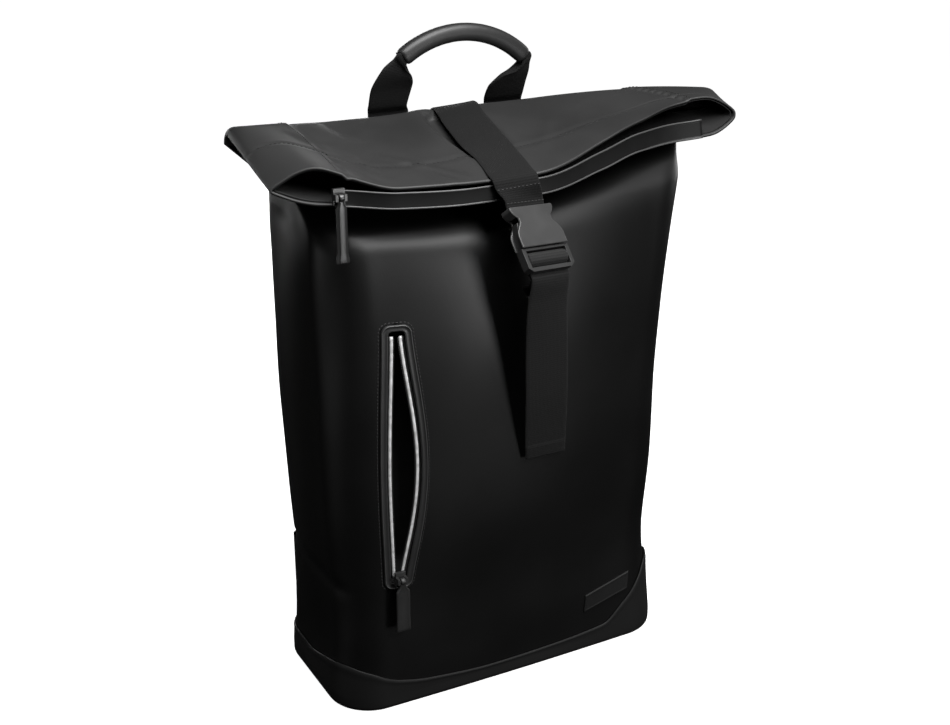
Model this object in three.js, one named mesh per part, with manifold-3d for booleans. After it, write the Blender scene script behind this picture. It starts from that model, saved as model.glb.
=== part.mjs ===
// A rolltop backpack, standing on its base, with its roll folded forward and its strap fastened.
// Millimetres, +Z up. The front faces -Y. The origin is the middle of the base, on the floor.
//
// The bag is one tube of coated fabric. It is a rounded rectangle at the base, narrows to two plies
// at the fold, turns over forwards, and ends in a zipped mouth. Every section of the tube is two
// lines, a front one and a back one, which each give a point for a share s from -1, the wearer's
// right end, to 1. A ring with round ends joins the two lines.

import * as THREE from 'three';
import { mergeVertices } from 'three/addons/utils/BufferGeometryUtils.js';
import Module from 'manifold-3d';

const wasm = await Module();
wasm.setup();

// Fabric and fits
const WALL = 2.0;
const GAP = 0.3;
const BOOT_FIT = 0.9;
const SEAT = 0.5;
const WEBBING = 1.6;

// Body
const BODY_WIDTH = 315;
const BODY_DEPTH = 142;
const CORNER_RADIUS = 36;
const FRONT_CROWN = 27;
const LEAN = 21.5;
const FOLD_HEIGHT = 472.5;
const FOLD_THICKNESS = 14;
const FOLD_OUTER_RADIUS = 22;
const FLAT_WIDTH = 414;
const MOUTH_WIDTH = 418;
const FOLD_SWEEP = 72;
const FOLD_RISE = 6;
const FOLD_DROP = 1.3;
const TIP_TAPER = 0.4;

// Base
const BOOT_WALL = 1.8;
const BOOT_FLOOR = 2.4;
const BOOT_EDGE = 4;
const SEAM_FRONT = 16;

// Mouth zip
const BAND_HEIGHT = 9.2;
const BAND_THICKNESS = 2.4;
const BAND_LIFT = 1.3;
const BAND_LEFT = -0.8;
const BAND_RIGHT = 0.85;

// Pocket zip
const SLIT_X = -110;
const SLIT_LOW = 124;
const SLIT_HIGH = 332;
const SLIT_LEAN = 1;
const SLIT_BOW_RIGHT = 12;
const SLIT_BOW_LEFT = 3;
const SLIT_END_HALF = 2;
const TAPE_WIDTH = 6;
const TAPE_THICKNESS = 1.2;
const WELT_WIDTH = 5;
const WELT_THICKNESS = 1.4;
const WELT_SEAT = 0.9;
const WELT_LAP = 2;
const POUCH_LEFT = -142;
const POUCH_RIGHT = -8;
const POUCH_MARGIN = 12;
const POUCH_DEPTH = 24;
const POUCH_WALL = 1.2;

// Straps and buckle
const STRAP_WIDTH = 38;
const STRAP_BACK_X = 17.5;
const STRAP_MOUTH_X = -20;
const STRAP_RISE = 2;
const BUCKLE_TOP = new THREE.Vector3(-14.3, -107.9, 425.8);
const BUCKLE_TILT = 38;
const BUCKLE_TURN = -4.5;
const BUCKLE_YAW = 12;
const BUCKLE_WIDTH = 45;
const BUCKLE_NECK = 42;
const BUCKLE_THICKNESS = 11;
const SOCKET_LENGTH = 32.5;
const SOCKET_WALL = 1.8;
const PLUG_LENGTH = 18.5;
const PLUG_THICKNESS = 7;
const TAIL_END = 215;
const TAIL_X = 13;
const ANCHOR_X = 14;
const ANCHOR_END = 352;

// Handle
const HANDLE_X = 13.5;
const HANDLE_LEAN_X = 1.5;
const HANDLE_LEAN_Y = -21;
const HANDLE_LEG_SPACING = 109;
const HANDLE_WEB = 37;
const GRIP_RADIUS = 90;
const GRIP_HALF_ANGLE = 39;
const GRIP_TURN = 3;
const GRIP_TOP = 533.5;
const GRIP_HEIGHT = 13;
const GRIP_DEPTH = 14;

// Back
const YOKE_WIDTH = 166;
const YOKE_LOW = 408;
const YOKE_HIGH = 440;
const YOKE_THICKNESS = 2.2;
const PAD_WIDTH = 58;
const PAD_THICKNESS = 11;
const PAD_SPACING = 80;
const SHOULDER_WEB = 25;
const ADJUSTER_THICKNESS = 6;
const ADJUSTER_WIDTH = 37;
const ADJUSTER_LENGTH = 26;

// Pullers
const SLIDER_WIDTH = 9;
const SLIDER_LENGTH = 12;
const SLIDER_HEIGHT = 3;
const PIN_RADIUS = 1.0;
const PIN_STAND = 3.4;
const EYE_CLEARANCE = 0.5;
const PULLER_THICKNESS = 2.2;
const MOUTH_PULLER_LENGTH = 49;
const MOUTH_PULLER_WIDTH = 8.5;
const POCKET_PULLER_LENGTH = 46;
const POCKET_PULLER_WIDTH = 12;

const PATCH_WIDTH = 49;
const PATCH_HEIGHT = 17;
const PATCH_THICKNESS = 1.2;
const PATCH_X = 93;
const PATCH_Z = 54;
const PATCH_TURN = 12.5;
const PATCH_SLANT = 0.27;

// Steps round one ring of the tube
const FRONT_STEPS = 14;
const BACK_STEPS = 10;
const CORNER_STEPS = 4;
const SIDE_STEPS = 2;

const vec = (x, y, z) => new THREE.Vector3(x, y, z);
const lerp = THREE.MathUtils.lerp;
const radians = THREE.MathUtils.degToRad;
const smooth = (low, high, x) => THREE.MathUtils.smoothstep(x, low, high);

// The value at x in a table of rows, where row[0] is x and the column is read in straight lines.
function tableValue(rows, column, x) {
  if (x <= rows[0][0]) return rows[0][column];
  for (let i = 1; i < rows.length; i++) {
    if (x <= rows[i][0]) {
      const share = (x - rows[i - 1][0]) / (rows[i][0] - rows[i - 1][0]);
      return lerp(rows[i - 1][column], rows[i][column], share);
    }
  }
  return rows[rows.length - 1][column];
}

const materials = {
  fabric: [0x1b1b1c, 0.55, 0.0],
  boot: [0x262627, 0.6, 0.0],
  webbing: [0x1e1e1f, 0.85, 0.0],
  lining: [0x161617, 0.8, 0.0],
  zip: [0x202021, 0.5, 0.0],
  coil: [0xb8b8b8, 0.4, 0.2],
  plastic: [0x3a3a3c, 0.35, 0.0],
  metal: [0x5a5a5d, 0.3, 0.9],
  patch: [0x2c2c2d, 0.6, 0.0],
};

function makeMesh(name, geometry, kind) {
  const [color, roughness, metalness] = materials[kind];
  const mesh = new THREE.Mesh(geometry, new THREE.MeshStandardMaterial({ color, roughness, metalness }));
  mesh.name = name;
  return mesh;
}

// A closed geometry from points and triangles, with doubles merged, empty triangles dropped and
// its faces turned outwards.
function closedGeometry(points, triangles) {
  const raw = new THREE.BufferGeometry();
  raw.setAttribute('position', new THREE.Float32BufferAttribute(points.flatMap((p) => [p.x, p.y, p.z]), 3));
  raw.setIndex(triangles.flat());
  const merged = mergeVertices(raw, 1e-4);
  const index = [];
  const old = merged.getIndex().array;
  for (let i = 0; i < old.length; i += 3) {
    const [a, b, c] = [old[i], old[i + 1], old[i + 2]];
    if (a !== b && b !== c && c !== a) index.push([a, b, c]);
  }
  const at = (i) => new THREE.Vector3().fromBufferAttribute(merged.getAttribute('position'), i);
  const volume = index.reduce((sum, [a, b, c]) => sum + at(a).dot(at(b).cross(at(c))), 0);
  merged.setIndex(index.flatMap(([a, b, c]) => (volume > 0 ? [a, b, c] : [a, c, b])));
  return merged;
}

// Joins a row of equal rings. A loop joins the last ring to the first; otherwise each end is
// closed by a fan to its middle.
function loftRings(rings, loop = false) {
  const count = rings[0].length;
  const points = rings.flat();
  const triangles = [];
  const bands = loop ? rings.length : rings.length - 1;
  for (let r = 0; r < bands; r++) {
    const next = (r + 1) % rings.length;
    for (let i = 0; i < count; i++) {
      const j = (i + 1) % count;
      const [a, b, c, d] = [r * count + i, r * count + j, next * count + j, next * count + i];
      triangles.push([a, b, c], [a, c, d]);
    }
  }
  if (!loop) {
    [[rings[0], 0, 1], [rings[rings.length - 1], (rings.length - 1) * count, -1]].forEach(([ring, start, way]) => {
      const middle = ring.reduce((sum, p) => sum.add(p), vec(0, 0, 0)).divideScalar(count);
      points.push(middle);
      for (let i = 0; i < count; i++) {
        const j = (i + 1) % count;
        const [a, b] = way > 0 ? [start + j, start + i] : [start + i, start + j];
        triangles.push([a, b, points.length - 1]);
      }
    });
  }
  return closedGeometry(points, triangles);
}

// A solid between two grids of points, closed round its border.
function sheetSolid(top, bottom) {
  const rows = top.length;
  const columns = top[0].length;
  const points = [...top.flat(), ...bottom.flat()];
  const under = rows * columns;
  const id = (r, c) => r * columns + c;
  const triangles = [];
  const quad = (a, b, c, d) => triangles.push([a, b, c], [a, c, d]);
  for (let r = 0; r + 1 < rows; r++) {
    for (let c = 0; c + 1 < columns; c++) {
      quad(id(r, c), id(r, c + 1), id(r + 1, c + 1), id(r + 1, c));
      quad(under + id(r, c), under + id(r + 1, c), under + id(r + 1, c + 1), under + id(r, c + 1));
    }
  }
  const edge = (a, b) => quad(a, under + a, under + b, b);
  for (let c = 0; c + 1 < columns; c++) {
    edge(id(0, c), id(0, c + 1));
    edge(id(rows - 1, c + 1), id(rows - 1, c));
  }
  for (let r = 0; r + 1 < rows; r++) {
    edge(id(r + 1, 0), id(r, 0));
    edge(id(r, columns - 1), id(r + 1, columns - 1));
  }
  return closedGeometry(points, triangles);
}

// Sweeps an oval or rectangular section along frames. A frame has a point, the direction across the
// section and its width, and the direction through it and its thickness.
function sweep(outline, frames) {
  const rings = frames.map((f) => outline.map(([a, b]) => f.point.clone()
    .addScaledVector(f.across, a * f.width / 2)
    .addScaledVector(f.through, b * f.thickness / 2)));
  return loftRings(rings);
}

const FLAT_SECTION = [[-1, -1], [1, -1], [1, 1], [-1, 1]];
const PADDED_SECTION = [[-1, 0], [-0.9, -0.8], [-0.45, -1], [0.45, -1], [0.9, -0.8], [1, 0], [0.9, 0.8],
  [0.45, 1], [-0.45, 1], [-0.9, 0.8]];

// The direction of a path at each of its points, from its neighbours.
function directions(path) {
  return path.map((p, i) => path[Math.min(i + 1, path.length - 1)].clone()
    .sub(path[Math.max(i - 1, 0)]).normalize());
}

// Frames of a ribbon along a path, with a fixed direction across it.
function ribbonFrames(path, across, width, thickness) {
  const along = directions(path);
  return path.map((point, i) => {
    const through = along[i].clone().cross(across).normalize();
    return { point, across, width, through, thickness };
  });
}

function toManifold(geometry) {
  const bare = geometry.clone();
  bare.deleteAttribute('normal');
  bare.deleteAttribute('uv');
  const merged = mergeVertices(bare, 1e-4);
  return new wasm.Manifold(new wasm.Mesh({
    numProp: 3,
    vertProperties: new Float32Array(merged.getAttribute('position').array),
    triVerts: new Uint32Array(merged.getIndex().array),
  }));
}

function fromManifold(solid) {
  const mesh = solid.getMesh();
  const geometry = new THREE.BufferGeometry();
  geometry.setAttribute('position', new THREE.BufferAttribute(new Float32Array(mesh.vertProperties), 3));
  geometry.setIndex(new THREE.BufferAttribute(new Uint32Array(mesh.triVerts), 1));
  return geometry;
}

// A box from its lowest to its highest corner.
function boxBetween(low, high) {
  const size = [0, 1, 2].map((i) => high[i] - low[i]);
  return new THREE.BoxGeometry(...size).translate(...[0, 1, 2].map((i) => (low[i] + high[i]) / 2));
}

// An outline in x and z, extruded through y about y = 0.
function plate(outline, thickness) {
  const shape = new THREE.Shape(outline.map(([x, z]) => new THREE.Vector2(x, z)));
  return new THREE.ExtrudeGeometry(shape, { depth: thickness, bevelEnabled: false })
    .rotateX(Math.PI / 2).translate(0, thickness / 2, 0);
}

// Points (s, e) round a ring whose front runs along e = -1 and back along e = 1. cornerS and cornerE
// are the shares of the half width and half depth that each round corner takes.
function unitRing(cornerS, cornerE) {
  const ring = [];
  const flatS = 1 - cornerS;
  const flatE = 1 - cornerE;
  const line = (from, to, steps) => {
    for (let i = 0; i < steps; i++) {
      ring.push([lerp(from[0], to[0], i / steps), lerp(from[1], to[1], i / steps)]);
    }
  };
  const corner = (middleS, middleE, start) => {
    for (let i = 0; i < CORNER_STEPS; i++) {
      const angle = start + i / CORNER_STEPS * Math.PI / 2;
      ring.push([middleS + cornerS * Math.cos(angle), middleE + cornerE * Math.sin(angle)]);
    }
  };
  line([-flatS, -1], [flatS, -1], FRONT_STEPS);
  corner(flatS, -flatE, -Math.PI / 2);
  line([1, -flatE], [1, flatE], SIDE_STEPS);
  corner(flatS, flatE, 0);
  line([flatS, 1], [-flatS, 1], BACK_STEPS);
  corner(-flatS, flatE, Math.PI / 2);
  line([-1, flatE], [-1, -flatE], SIDE_STEPS);
  corner(-flatS, -flatE, Math.PI);
  return ring;
}

// The tube's point at share s across and e through, drawn in from the fabric's outside by inset.
function sectionPoint(section, s, e, inset = 0) {
  const across = s * (1 - inset / section.halfWidth);
  const front = section.front(across);
  const back = section.back(across);
  const half = back.clone().sub(front).divideScalar(2);
  const share = e * (1 - inset / half.length());
  return front.add(back).divideScalar(2).addScaledVector(half, share);
}

// The shares of a section's half width and half depth that its round corners take.
function cornerShares(section, inset = 0) {
  const halfDepth = section.front(0).distanceTo(section.back(0)) / 2;
  return [(section.corner - inset) / (section.halfWidth - inset),
    (Math.min(section.corner, 0.88 * halfDepth) - inset) / (halfDepth - inset)];
}

function sectionRing(section, inset = 0) {
  return unitRing(...cornerShares(section, inset)).map(([s, e]) => sectionPoint(section, s, e, inset));
}

// Body sections from the base up. Heights are shares of FOLD_HEIGHT, half width of half BODY_WIDTH,
// front and back of half BODY_DEPTH, crown of FRONT_CROWN, corner of CORNER_RADIUS, lean of LEAN,
// sweep, the right end's shift forwards, of FOLD_SWEEP, and rise, of the right end, of FOLD_HEIGHT.
// backHeight, frontHeight, halfWidth, front, back, crown, corner, lean, sweep, rise
const BODY_SECTIONS = [
  [0.0255, 0.0255, 1.000, -1.03, 1.00, 0.08, 1.00, 0.00, 0.00, 0.000],
  [0.1190, 0.1190, 0.976, -1.02, 1.00, 0.24, 1.00, -0.04, 0.00, 0.000],
  [0.2230, 0.2230, 0.966, -1.00, 1.00, 0.45, 1.05, -0.12, 0.00, 0.000],
  [0.3600, 0.3600, 0.988, -1.00, 1.00, 0.75, 1.05, -0.11, 0.00, 0.000],
  [0.5100, 0.5100, 1.000, -0.99, 1.00, 0.93, 1.05, -0.12, 0.00, 0.000],
  [0.6600, 0.6600, 1.018, -0.98, 1.00, 1.00, 1.05, -0.01, 0.00, 0.000],
  [0.7600, 0.7600, 1.033, -0.97, 1.00, 0.93, 1.00, 0.08, 0.00, 0.000],
  [0.8400, 0.8350, 1.045, -0.94, 1.00, 0.80, 0.95, 0.18, 0.00, 0.004],
  [0.8850, 0.8700, 1.056, -0.86, 1.00, 0.62, 0.90, 0.32, 0.02, 0.010],
  [0.9130, 0.8960, 1.073, -0.60, 1.00, 0.45, 0.80, 0.50, 0.10, 0.012],
  [0.9270, 0.9150, 1.100, -0.18, 1.00, 0.20, 0.60, 0.72, 0.26, 0.010],
  [0.9380, 0.9310, 1.180, 0.36, 1.01, 0.04, 0.45, 0.85, 0.58, 0.004],
];
const SLOT_HEIGHT = FOLD_HEIGHT - FOLD_OUTER_RADIUS;
const SLOT_BACK = BODY_DEPTH / 2 + 1;

const crownShape = (s) => Math.pow(Math.max(0, 1 - s * s), 1.5);
const sweepShape = (s) => Math.pow(Math.max(0, (s - 0.35) / 0.65), 2);

function bodySection(row) {
  const [backHeight, frontHeight, width, front, back, crown, corner, lean, swept, rise] = row;
  const halfWidth = width * BODY_WIDTH / 2;
  const x = (s) => lean * LEAN + s * halfWidth;
  const y = (s, share) => share * BODY_DEPTH / 2 - swept * FOLD_SWEEP * sweepShape(s);
  const lift = (s) => rise * FOLD_HEIGHT * s;
  return {
    halfWidth,
    corner: corner * CORNER_RADIUS,
    front: (s) => vec(x(s), y(s, front) - crown * FRONT_CROWN * crownShape(s), frontHeight * FOLD_HEIGHT + lift(s)),
    back: (s) => vec(x(s), y(s, back), backHeight * FOLD_HEIGHT + lift(s)),
  };
}

// A section through the fold, turned by an angle about the fold's middle: 0 at the slot where the
// body ends, and 90 at the top.
function foldSection(angle, drop = 0) {
  const halfWidth = FLAT_WIDTH / 2;
  const at = (s, inwards) => {
    const taper = 1 - TIP_TAPER * Math.pow(Math.abs(s), 4);
    const outer = FOLD_OUTER_RADIUS * taper;
    const radius = outer - inwards * FOLD_THICKNESS * taper;
    return vec(
      LEAN + s * halfWidth,
      SLOT_BACK - outer - FOLD_SWEEP * sweepShape(s) + radius * Math.cos(radians(angle)),
      FOLD_HEIGHT + FOLD_RISE * smooth(0, 1, s) - FOLD_DROP * smooth(0, 0.6, -s) - outer - drop
        + radius * Math.sin(radians(angle)),
    );
  };
  return { halfWidth, corner: FOLD_THICKNESS / 2, front: (s) => at(s, 1), back: (s) => at(s, 0) };
}

// The mouth's two edges: s, then y and height above the fold of the upper edge, then of the lower.
// y is a share of half BODY_DEPTH, and the heights are shares of FOLD_HEIGHT.
const MOUTH_EDGES = [
  [-1.00, -0.70, 0.9540, -0.72, 0.9370],
  [-0.85, -0.86, 0.9780, -0.92, 0.9220],
  [-0.76, -1.00, 0.9680, -1.03, 0.9200],
  [-0.60, -1.24, 0.9500, -1.24, 0.9150],
  [-0.33, -1.38, 0.9460, -1.37, 0.9130],
  [-0.06, -1.38, 0.9500, -1.37, 0.9140],
  [0.27, -1.06, 0.9760, -1.08, 0.9280],
  [0.51, -0.78, 0.9910, -0.80, 0.9400],
  [0.75, -0.52, 1.0060, -0.62, 0.9420],
  [0.88, -0.56, 1.0120, -0.66, 0.9460],
  [1.00, -0.68, 1.0000, -0.70, 0.9620],
];
const MOUTH_X = 16;

function mouthSection() {
  const halfWidth = MOUTH_WIDTH / 2;
  const at = (s, column) => vec(
    MOUTH_X + s * halfWidth,
    tableValue(MOUTH_EDGES, column, s) * BODY_DEPTH / 2,
    tableValue(MOUTH_EDGES, column + 1, s) * FOLD_HEIGHT,
  );
  return { halfWidth, corner: 20, front: (s) => at(s, 3), back: (s) => at(s, 1) };
}

// A section a share of the way from the end of the bend to the mouth.
function flapSection(share) {
  const bend = foldSection(FOLD_ANGLES[FOLD_ANGLES.length - 1]);
  const mouth = mouthSection();
  return {
    halfWidth: lerp(bend.halfWidth, mouth.halfWidth, share),
    corner: lerp(bend.corner, mouth.corner, share),
    front: (s) => bend.front(s).lerp(mouth.front(s), share),
    back: (s) => bend.back(s).lerp(mouth.back(s), share),
  };
}
const FOLD_ANGLES = [0, 33, 66, 99];
const FLAP_SHARES = [0.25, 0.5, 0.75, 1];

const bodySections = [...BODY_SECTIONS.map(bodySection), foldSection(0, GAP)];
const flapSections = [...FOLD_ANGLES.map((a) => foldSection(a)), ...FLAP_SHARES.map(flapSection)];

// The fabric tube through a row of sections: up its outside and down its inside.
function tube(sections) {
  const outside = sections.map((section) => sectionRing(section));
  const inside = sections.map((section) => sectionRing(section, WALL));
  return loftRings([...outside, ...inside.reverse()], true);
}

// The body's outer surface at a height, between the two sections there. pointOf gives a section's
// own point.
function bodySkin(pointOf, z) {
  for (let i = 1; i < bodySections.length; i++) {
    const low = pointOf(bodySections[i - 1]);
    const high = pointOf(bodySections[i]);
    if (z <= high.z) return low.lerp(high, (z - low.z) / (high.z - low.z));
  }
  return pointOf(bodySections[bodySections.length - 1]);
}

// The body's front at x and z, as y, with its round corners.
function frontSkin(x, z) {
  const pointOf = (section) => {
    const s = THREE.MathUtils.clamp((x - section.front(0).x) / section.halfWidth, -1, 1);
    const [cornerS, cornerE] = cornerShares(section);
    const over = Math.max(0, (Math.abs(s) - 1 + cornerS) / cornerS);
    return sectionPoint(section, s, cornerE - 1 - cornerE * Math.sqrt(1 - over * over));
  };
  return bodySkin(pointOf, z).y;
}

// Base
// The seam's height round the base: the angle from the middle of the front in degrees, positive to the
// right, and the height as a share of SEAM_FRONT.
const SEAM_ROWS = [
  [-180, 1.80],
  [-118, 1.80],
  [-96, 1.75],
  [-75, 2.12],
  [-52, 2.62],
  [-42, 2.32],
  [-35, 1.62],
  [-28, 1.28],
  [-8, 1.00],
  [14, 1.08],
  [30, 1.32],
  [36, 2.40],
  [41, 3.60],
  [46, 4.35],
  [54, 4.50],
  [75, 2.90],
  [97, 1.90],
  [180, 1.80],
];
const seamHeight = (s, e) => SEAM_FRONT * tableValue(SEAM_ROWS, 1, Math.atan2(s, -e) * 180 / Math.PI);

function makeBoot() {
  const first = bodySections[0];
  const ring = unitRing(...cornerShares(first));
  const low = BODY_SECTIONS[0][0] * FOLD_HEIGHT;
  // A ring at heights that may differ round it, moved outwards from the body's skin.
  const around = (heightOf, outwards) => {
    const skin = ring.map(([s, e]) => (
      bodySkin((section) => sectionPoint(section, s, e), Math.max(low, heightOf(s, e)))));
    return skin.map((p, i) => {
      const along = skin[(i + 1) % skin.length].clone().sub(skin[(i + skin.length - 1) % skin.length]);
      const out = vec(along.y, -along.x, 0).normalize();
      const [s, e] = ring[i];
      return p.clone().addScaledVector(out, outwards).setZ(heightOf(s, e));
    });
  };
  const outside = BOOT_FIT + BOOT_WALL;
  const level = (z) => () => z;
  const part = (share) => (s, e) => lerp(low, seamHeight(s, e), share);
  return makeMesh('base_boot', loftRings([
    around(level(0), outside - 0.8 * BOOT_EDGE),
    around(level(0.25 * BOOT_EDGE), outside - 0.25 * BOOT_EDGE),
    around(level(low), outside),
    around(part(0.5), outside),
    around(part(1), outside),
    around(part(1), BOOT_FIT),
    around(part(0.5), BOOT_FIT),
    around(level(low - GAP), BOOT_FIT),
    around(level(BOOT_FLOOR + 0.2 * BOOT_EDGE), BOOT_FIT - 0.25 * BOOT_EDGE),
    around(level(BOOT_FLOOR), BOOT_FIT - 0.8 * BOOT_EDGE),
  ]), 'boot');
}

// Pocket zip: the line of each row of teeth, as x at height z. side is -1 for the left row.
function teethLine(side, z) {
  const share = THREE.MathUtils.clamp((z - SLIT_LOW) / (SLIT_HIGH - SLIT_LOW), 0, 1);
  const bow = side > 0 ? SLIT_BOW_RIGHT : SLIT_BOW_LEFT;
  const middle = SLIT_X - SLIT_LEAN * (1 - share);
  return middle + side * (SLIT_END_HALF + bow * Math.pow(Math.sin(Math.PI * Math.pow(share, 0.9)), 1.4));
}

const SLIT_STEPS = 12;
const slitHeights = Array.from({ length: SLIT_STEPS + 1 }, (_, i) => lerp(SLIT_LOW, SLIT_HIGH, i / SLIT_STEPS));

// The closed outline of the slit in x and z, moved outwards from the teeth.
function slitOutline(outwards) {
  const grown = (z) => lerp(SLIT_LOW - outwards, SLIT_HIGH + outwards, (z - SLIT_LOW) / (SLIT_HIGH - SLIT_LOW));
  const right = slitHeights.map((z) => [teethLine(1, z) + outwards, grown(z)]);
  const left = slitHeights.map((z) => [teethLine(-1, z) - outwards, grown(z)]).reverse();
  return [...right, ...left];
}

function makeBody() {
  const hole = toManifold(plate(slitOutline(TAPE_WIDTH + GAP), BODY_DEPTH).translate(0, -BODY_DEPTH, 0));
  return makeMesh('body_shell', fromManifold(toManifold(tube(bodySections)).subtract(hole)), 'fabric');
}

function makeWelt() {
  const strip = (outwards, proud) => slitOutline(outwards)
    .map(([x, z]) => vec(x, frontSkin(x, z) - proud, z));
  const inner = TAPE_WIDTH + GAP - WELT_LAP;
  const outer = inner + WELT_WIDTH;
  return makeMesh('pocket_welt', loftRings([
    strip(inner, WELT_SEAT), strip(outer, WELT_SEAT), strip(outer, WELT_SEAT + WELT_THICKNESS),
    strip(inner, WELT_SEAT + WELT_THICKNESS)], true), 'zip');
}

function makePocketTape(side) {
  const strip = (depth) => slitHeights.map((z) => [0, TAPE_WIDTH].map((outwards) => {
    const x = teethLine(side, z) + side * outwards;
    return vec(x, frontSkin(x, z) + depth, z);
  }));
  const name = side > 0 ? 'pocket_tape_right' : 'pocket_tape_left';
  return makeMesh(name, sheetSolid(strip(GAP), strip(GAP + TAPE_THICKNESS)), 'coil');
}

// The pouch behind the slit: a tray whose rim lies on the inside of the front.
function makePouch() {
  const columns = 6;
  const rows = 6;
  const layer = (inset, depth) => Array.from({ length: rows + 3 }, (_, r) => (
    Array.from({ length: columns + 3 }, (__, c) => {
      const rim = r === 0 || c === 0 || r === rows + 2 || c === columns + 2;
      const shareX = THREE.MathUtils.clamp((c - 1) / columns, 0, 1);
      const shareZ = THREE.MathUtils.clamp((r - 1) / rows, 0, 1);
      const x = lerp(POUCH_LEFT + inset, POUCH_RIGHT - inset, shareX);
      const z = lerp(SLIT_LOW - POUCH_MARGIN + inset, SLIT_HIGH + POUCH_MARGIN - inset, shareZ);
      return vec(x, frontSkin(x, z) + WALL + (rim ? 3 * SEAT : depth), z);
    })));
  return makeMesh('pocket_pouch', sheetSolid(layer(POUCH_WALL, POUCH_DEPTH - POUCH_WALL), layer(0, POUCH_DEPTH)), 'lining');
}

// Mouth zip: a band that stands on the lower ply, inside the mouth.
function makeBand() {
  const mouth = mouthSection();
  const shares = [-0.8, -0.7, -0.6, -0.45, -0.3, -0.15, 0, 0.14, 0.27, 0.39, 0.51, 0.63, 0.75, 0.85]
    .map((s) => THREE.MathUtils.mapLinear(s, -0.8, 0.85, BAND_LEFT, BAND_RIGHT));
  const behind = flapSection(FLAP_SHARES[FLAP_SHARES.length - 2]);
  const face = (depth) => [0, 1].map((top) => shares.map((s) => {
    const low = mouth.front(s);
    const up = mouth.back(s).sub(low).normalize();
    const inwards = behind.front(s).sub(low).normalize();
    return low.addScaledVector(up, WALL + BAND_LIFT + top * BAND_HEIGHT).addScaledVector(inwards, depth);
  }));
  return makeMesh('mouth_zip_band', sheetSolid(face(0), face(BAND_THICKNESS)), 'zip');
}

// A slider at the group's origin with its puller's pin along x; the puller hangs from the pin.
function makeZipPull(name, point, length, width, kind) {
  const group = new THREE.Group();
  group.position.copy(point);
  const plateBox = boxBetween([-SLIDER_WIDTH / 2, -SLIDER_HEIGHT, -SLIDER_LENGTH / 2],
    [SLIDER_WIDTH / 2, 0, SLIDER_LENGTH / 2]);
  const ears = [-1, 1].map((side) => boxBetween(
    [side * SLIDER_WIDTH / 2 - (side > 0 ? 2 : 0), -SLIDER_HEIGHT - PIN_STAND - PIN_RADIUS, -2.5],
    [side * SLIDER_WIDTH / 2 + (side > 0 ? 0 : 2), -SLIDER_HEIGHT + 0.5, 2.5]));
  const pin = new THREE.CylinderGeometry(PIN_RADIUS, PIN_RADIUS, SLIDER_WIDTH - 1, 12)
    .rotateZ(Math.PI / 2).translate(0, -SLIDER_HEIGHT - PIN_STAND, 0);
  const slider = [...ears, pin].reduce((sum, g) => sum.add(toManifold(g)), toManifold(plateBox));
  group.add(makeMesh(`${name}_slider`, fromManifold(slider), kind));

  const eye = PIN_RADIUS + EYE_CLEARANCE;
  const rim = eye + 1.4;
  const neck = SLIDER_WIDTH / 2 - 2 - GAP;
  const ring = new THREE.CylinderGeometry(rim, rim, 2 * neck, 16).rotateZ(Math.PI / 2);
  const bar = plate([[-neck, 0], [-neck, -rim - 3], [-width / 2, -rim - 6], [-width / 2, -length],
    [width / 2, -length], [width / 2, -rim - 6], [neck, -rim - 3], [neck, 0]], PULLER_THICKNESS);
  const hole = new THREE.CylinderGeometry(eye, eye, SLIDER_WIDTH, 16).rotateZ(Math.PI / 2);
  const puller = toManifold(ring).add(toManifold(bar)).subtract(toManifold(hole));
  const pullerMesh = makeMesh(`${name}_puller`, fromManifold(puller), kind);
  pullerMesh.position.set(0, -SLIDER_HEIGHT - PIN_STAND, 0);
  group.add(pullerMesh);
  return group;
}

// The closure strap: from the back, over the fold and the flap, and down to the buckle.
function makeClosureStrap() {
  const columns = [-1, -0.33, 0.33, 1];
  const lift = SEAT;
  const sections = [foldSection(0), ...flapSections.slice(1)];
  const top = [];
  const bottom = [];
  const addRow = (pointOf, normalOf) => {
    bottom.push(columns.map((c) => pointOf(c).addScaledVector(normalOf(c), lift)));
    top.push(columns.map((c) => pointOf(c).addScaledVector(normalOf(c), lift + WEBBING)));
  };
  const half = STRAP_WIDTH / 2;
  [YOKE_LOW + 4, lerp(YOKE_LOW, SLOT_HEIGHT, 0.6)].forEach((z) => addRow(
    (c) => vec(STRAP_BACK_X + c * half, SLOT_BACK, z), () => vec(0, 1, 0)));
  const lengths = sections.map((section) => section.back(0));
  const run = lengths.map((p, i) => lengths.slice(1, i + 1).reduce((sum, q, k) => sum + q.distanceTo(lengths[k]), 0));
  sections.forEach((section, i) => {
    const middle = lerp(STRAP_BACK_X, STRAP_MOUTH_X, run[i] / run[run.length - 1]);
    const share = (c) => (middle + c * half - section.back(0).x) / section.halfWidth;
    const off = i === 0 ? 0 : i < FOLD_ANGLES.length ? STRAP_RISE : SEAT;
    const normal = (c) => section.back(share(c)).sub(section.front(share(c))).normalize();
    addRow((c) => section.back(share(c)).addScaledVector(normal(c), off), normal);
  });
  const mouth = mouthSection();
  const edge = (c) => mouth.back((STRAP_MOUTH_X + c * half - MOUTH_X) / mouth.halfWidth);
  addRow((c) => edge(c).add(vec(0, -2.2, -0.6)), () => vec(0, -0.75, 0.66));
  addRow((c) => edge(c).add(vec(0.6, -4.0, -4.2)), () => vec(0, -1, 0.1));
  const end = buckleFrame();
  const down = vec(0, 0, -SOCKET_SLOT + GAP).applyMatrix4(end);
  const out = vec(0, -1, 0).transformDirection(end);
  const across = vec(1, 0, 0).transformDirection(end);
  [vec(0, 0, 4).applyMatrix4(end), down].forEach((middle) => addRow(
    (c) => middle.clone().addScaledVector(across, c * STRAP_WIDTH / 2).addScaledVector(out, -lift - WEBBING / 2),
    () => out));
  return makeMesh('closure_strap', sheetSolid(top, bottom), 'webbing');
}
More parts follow.
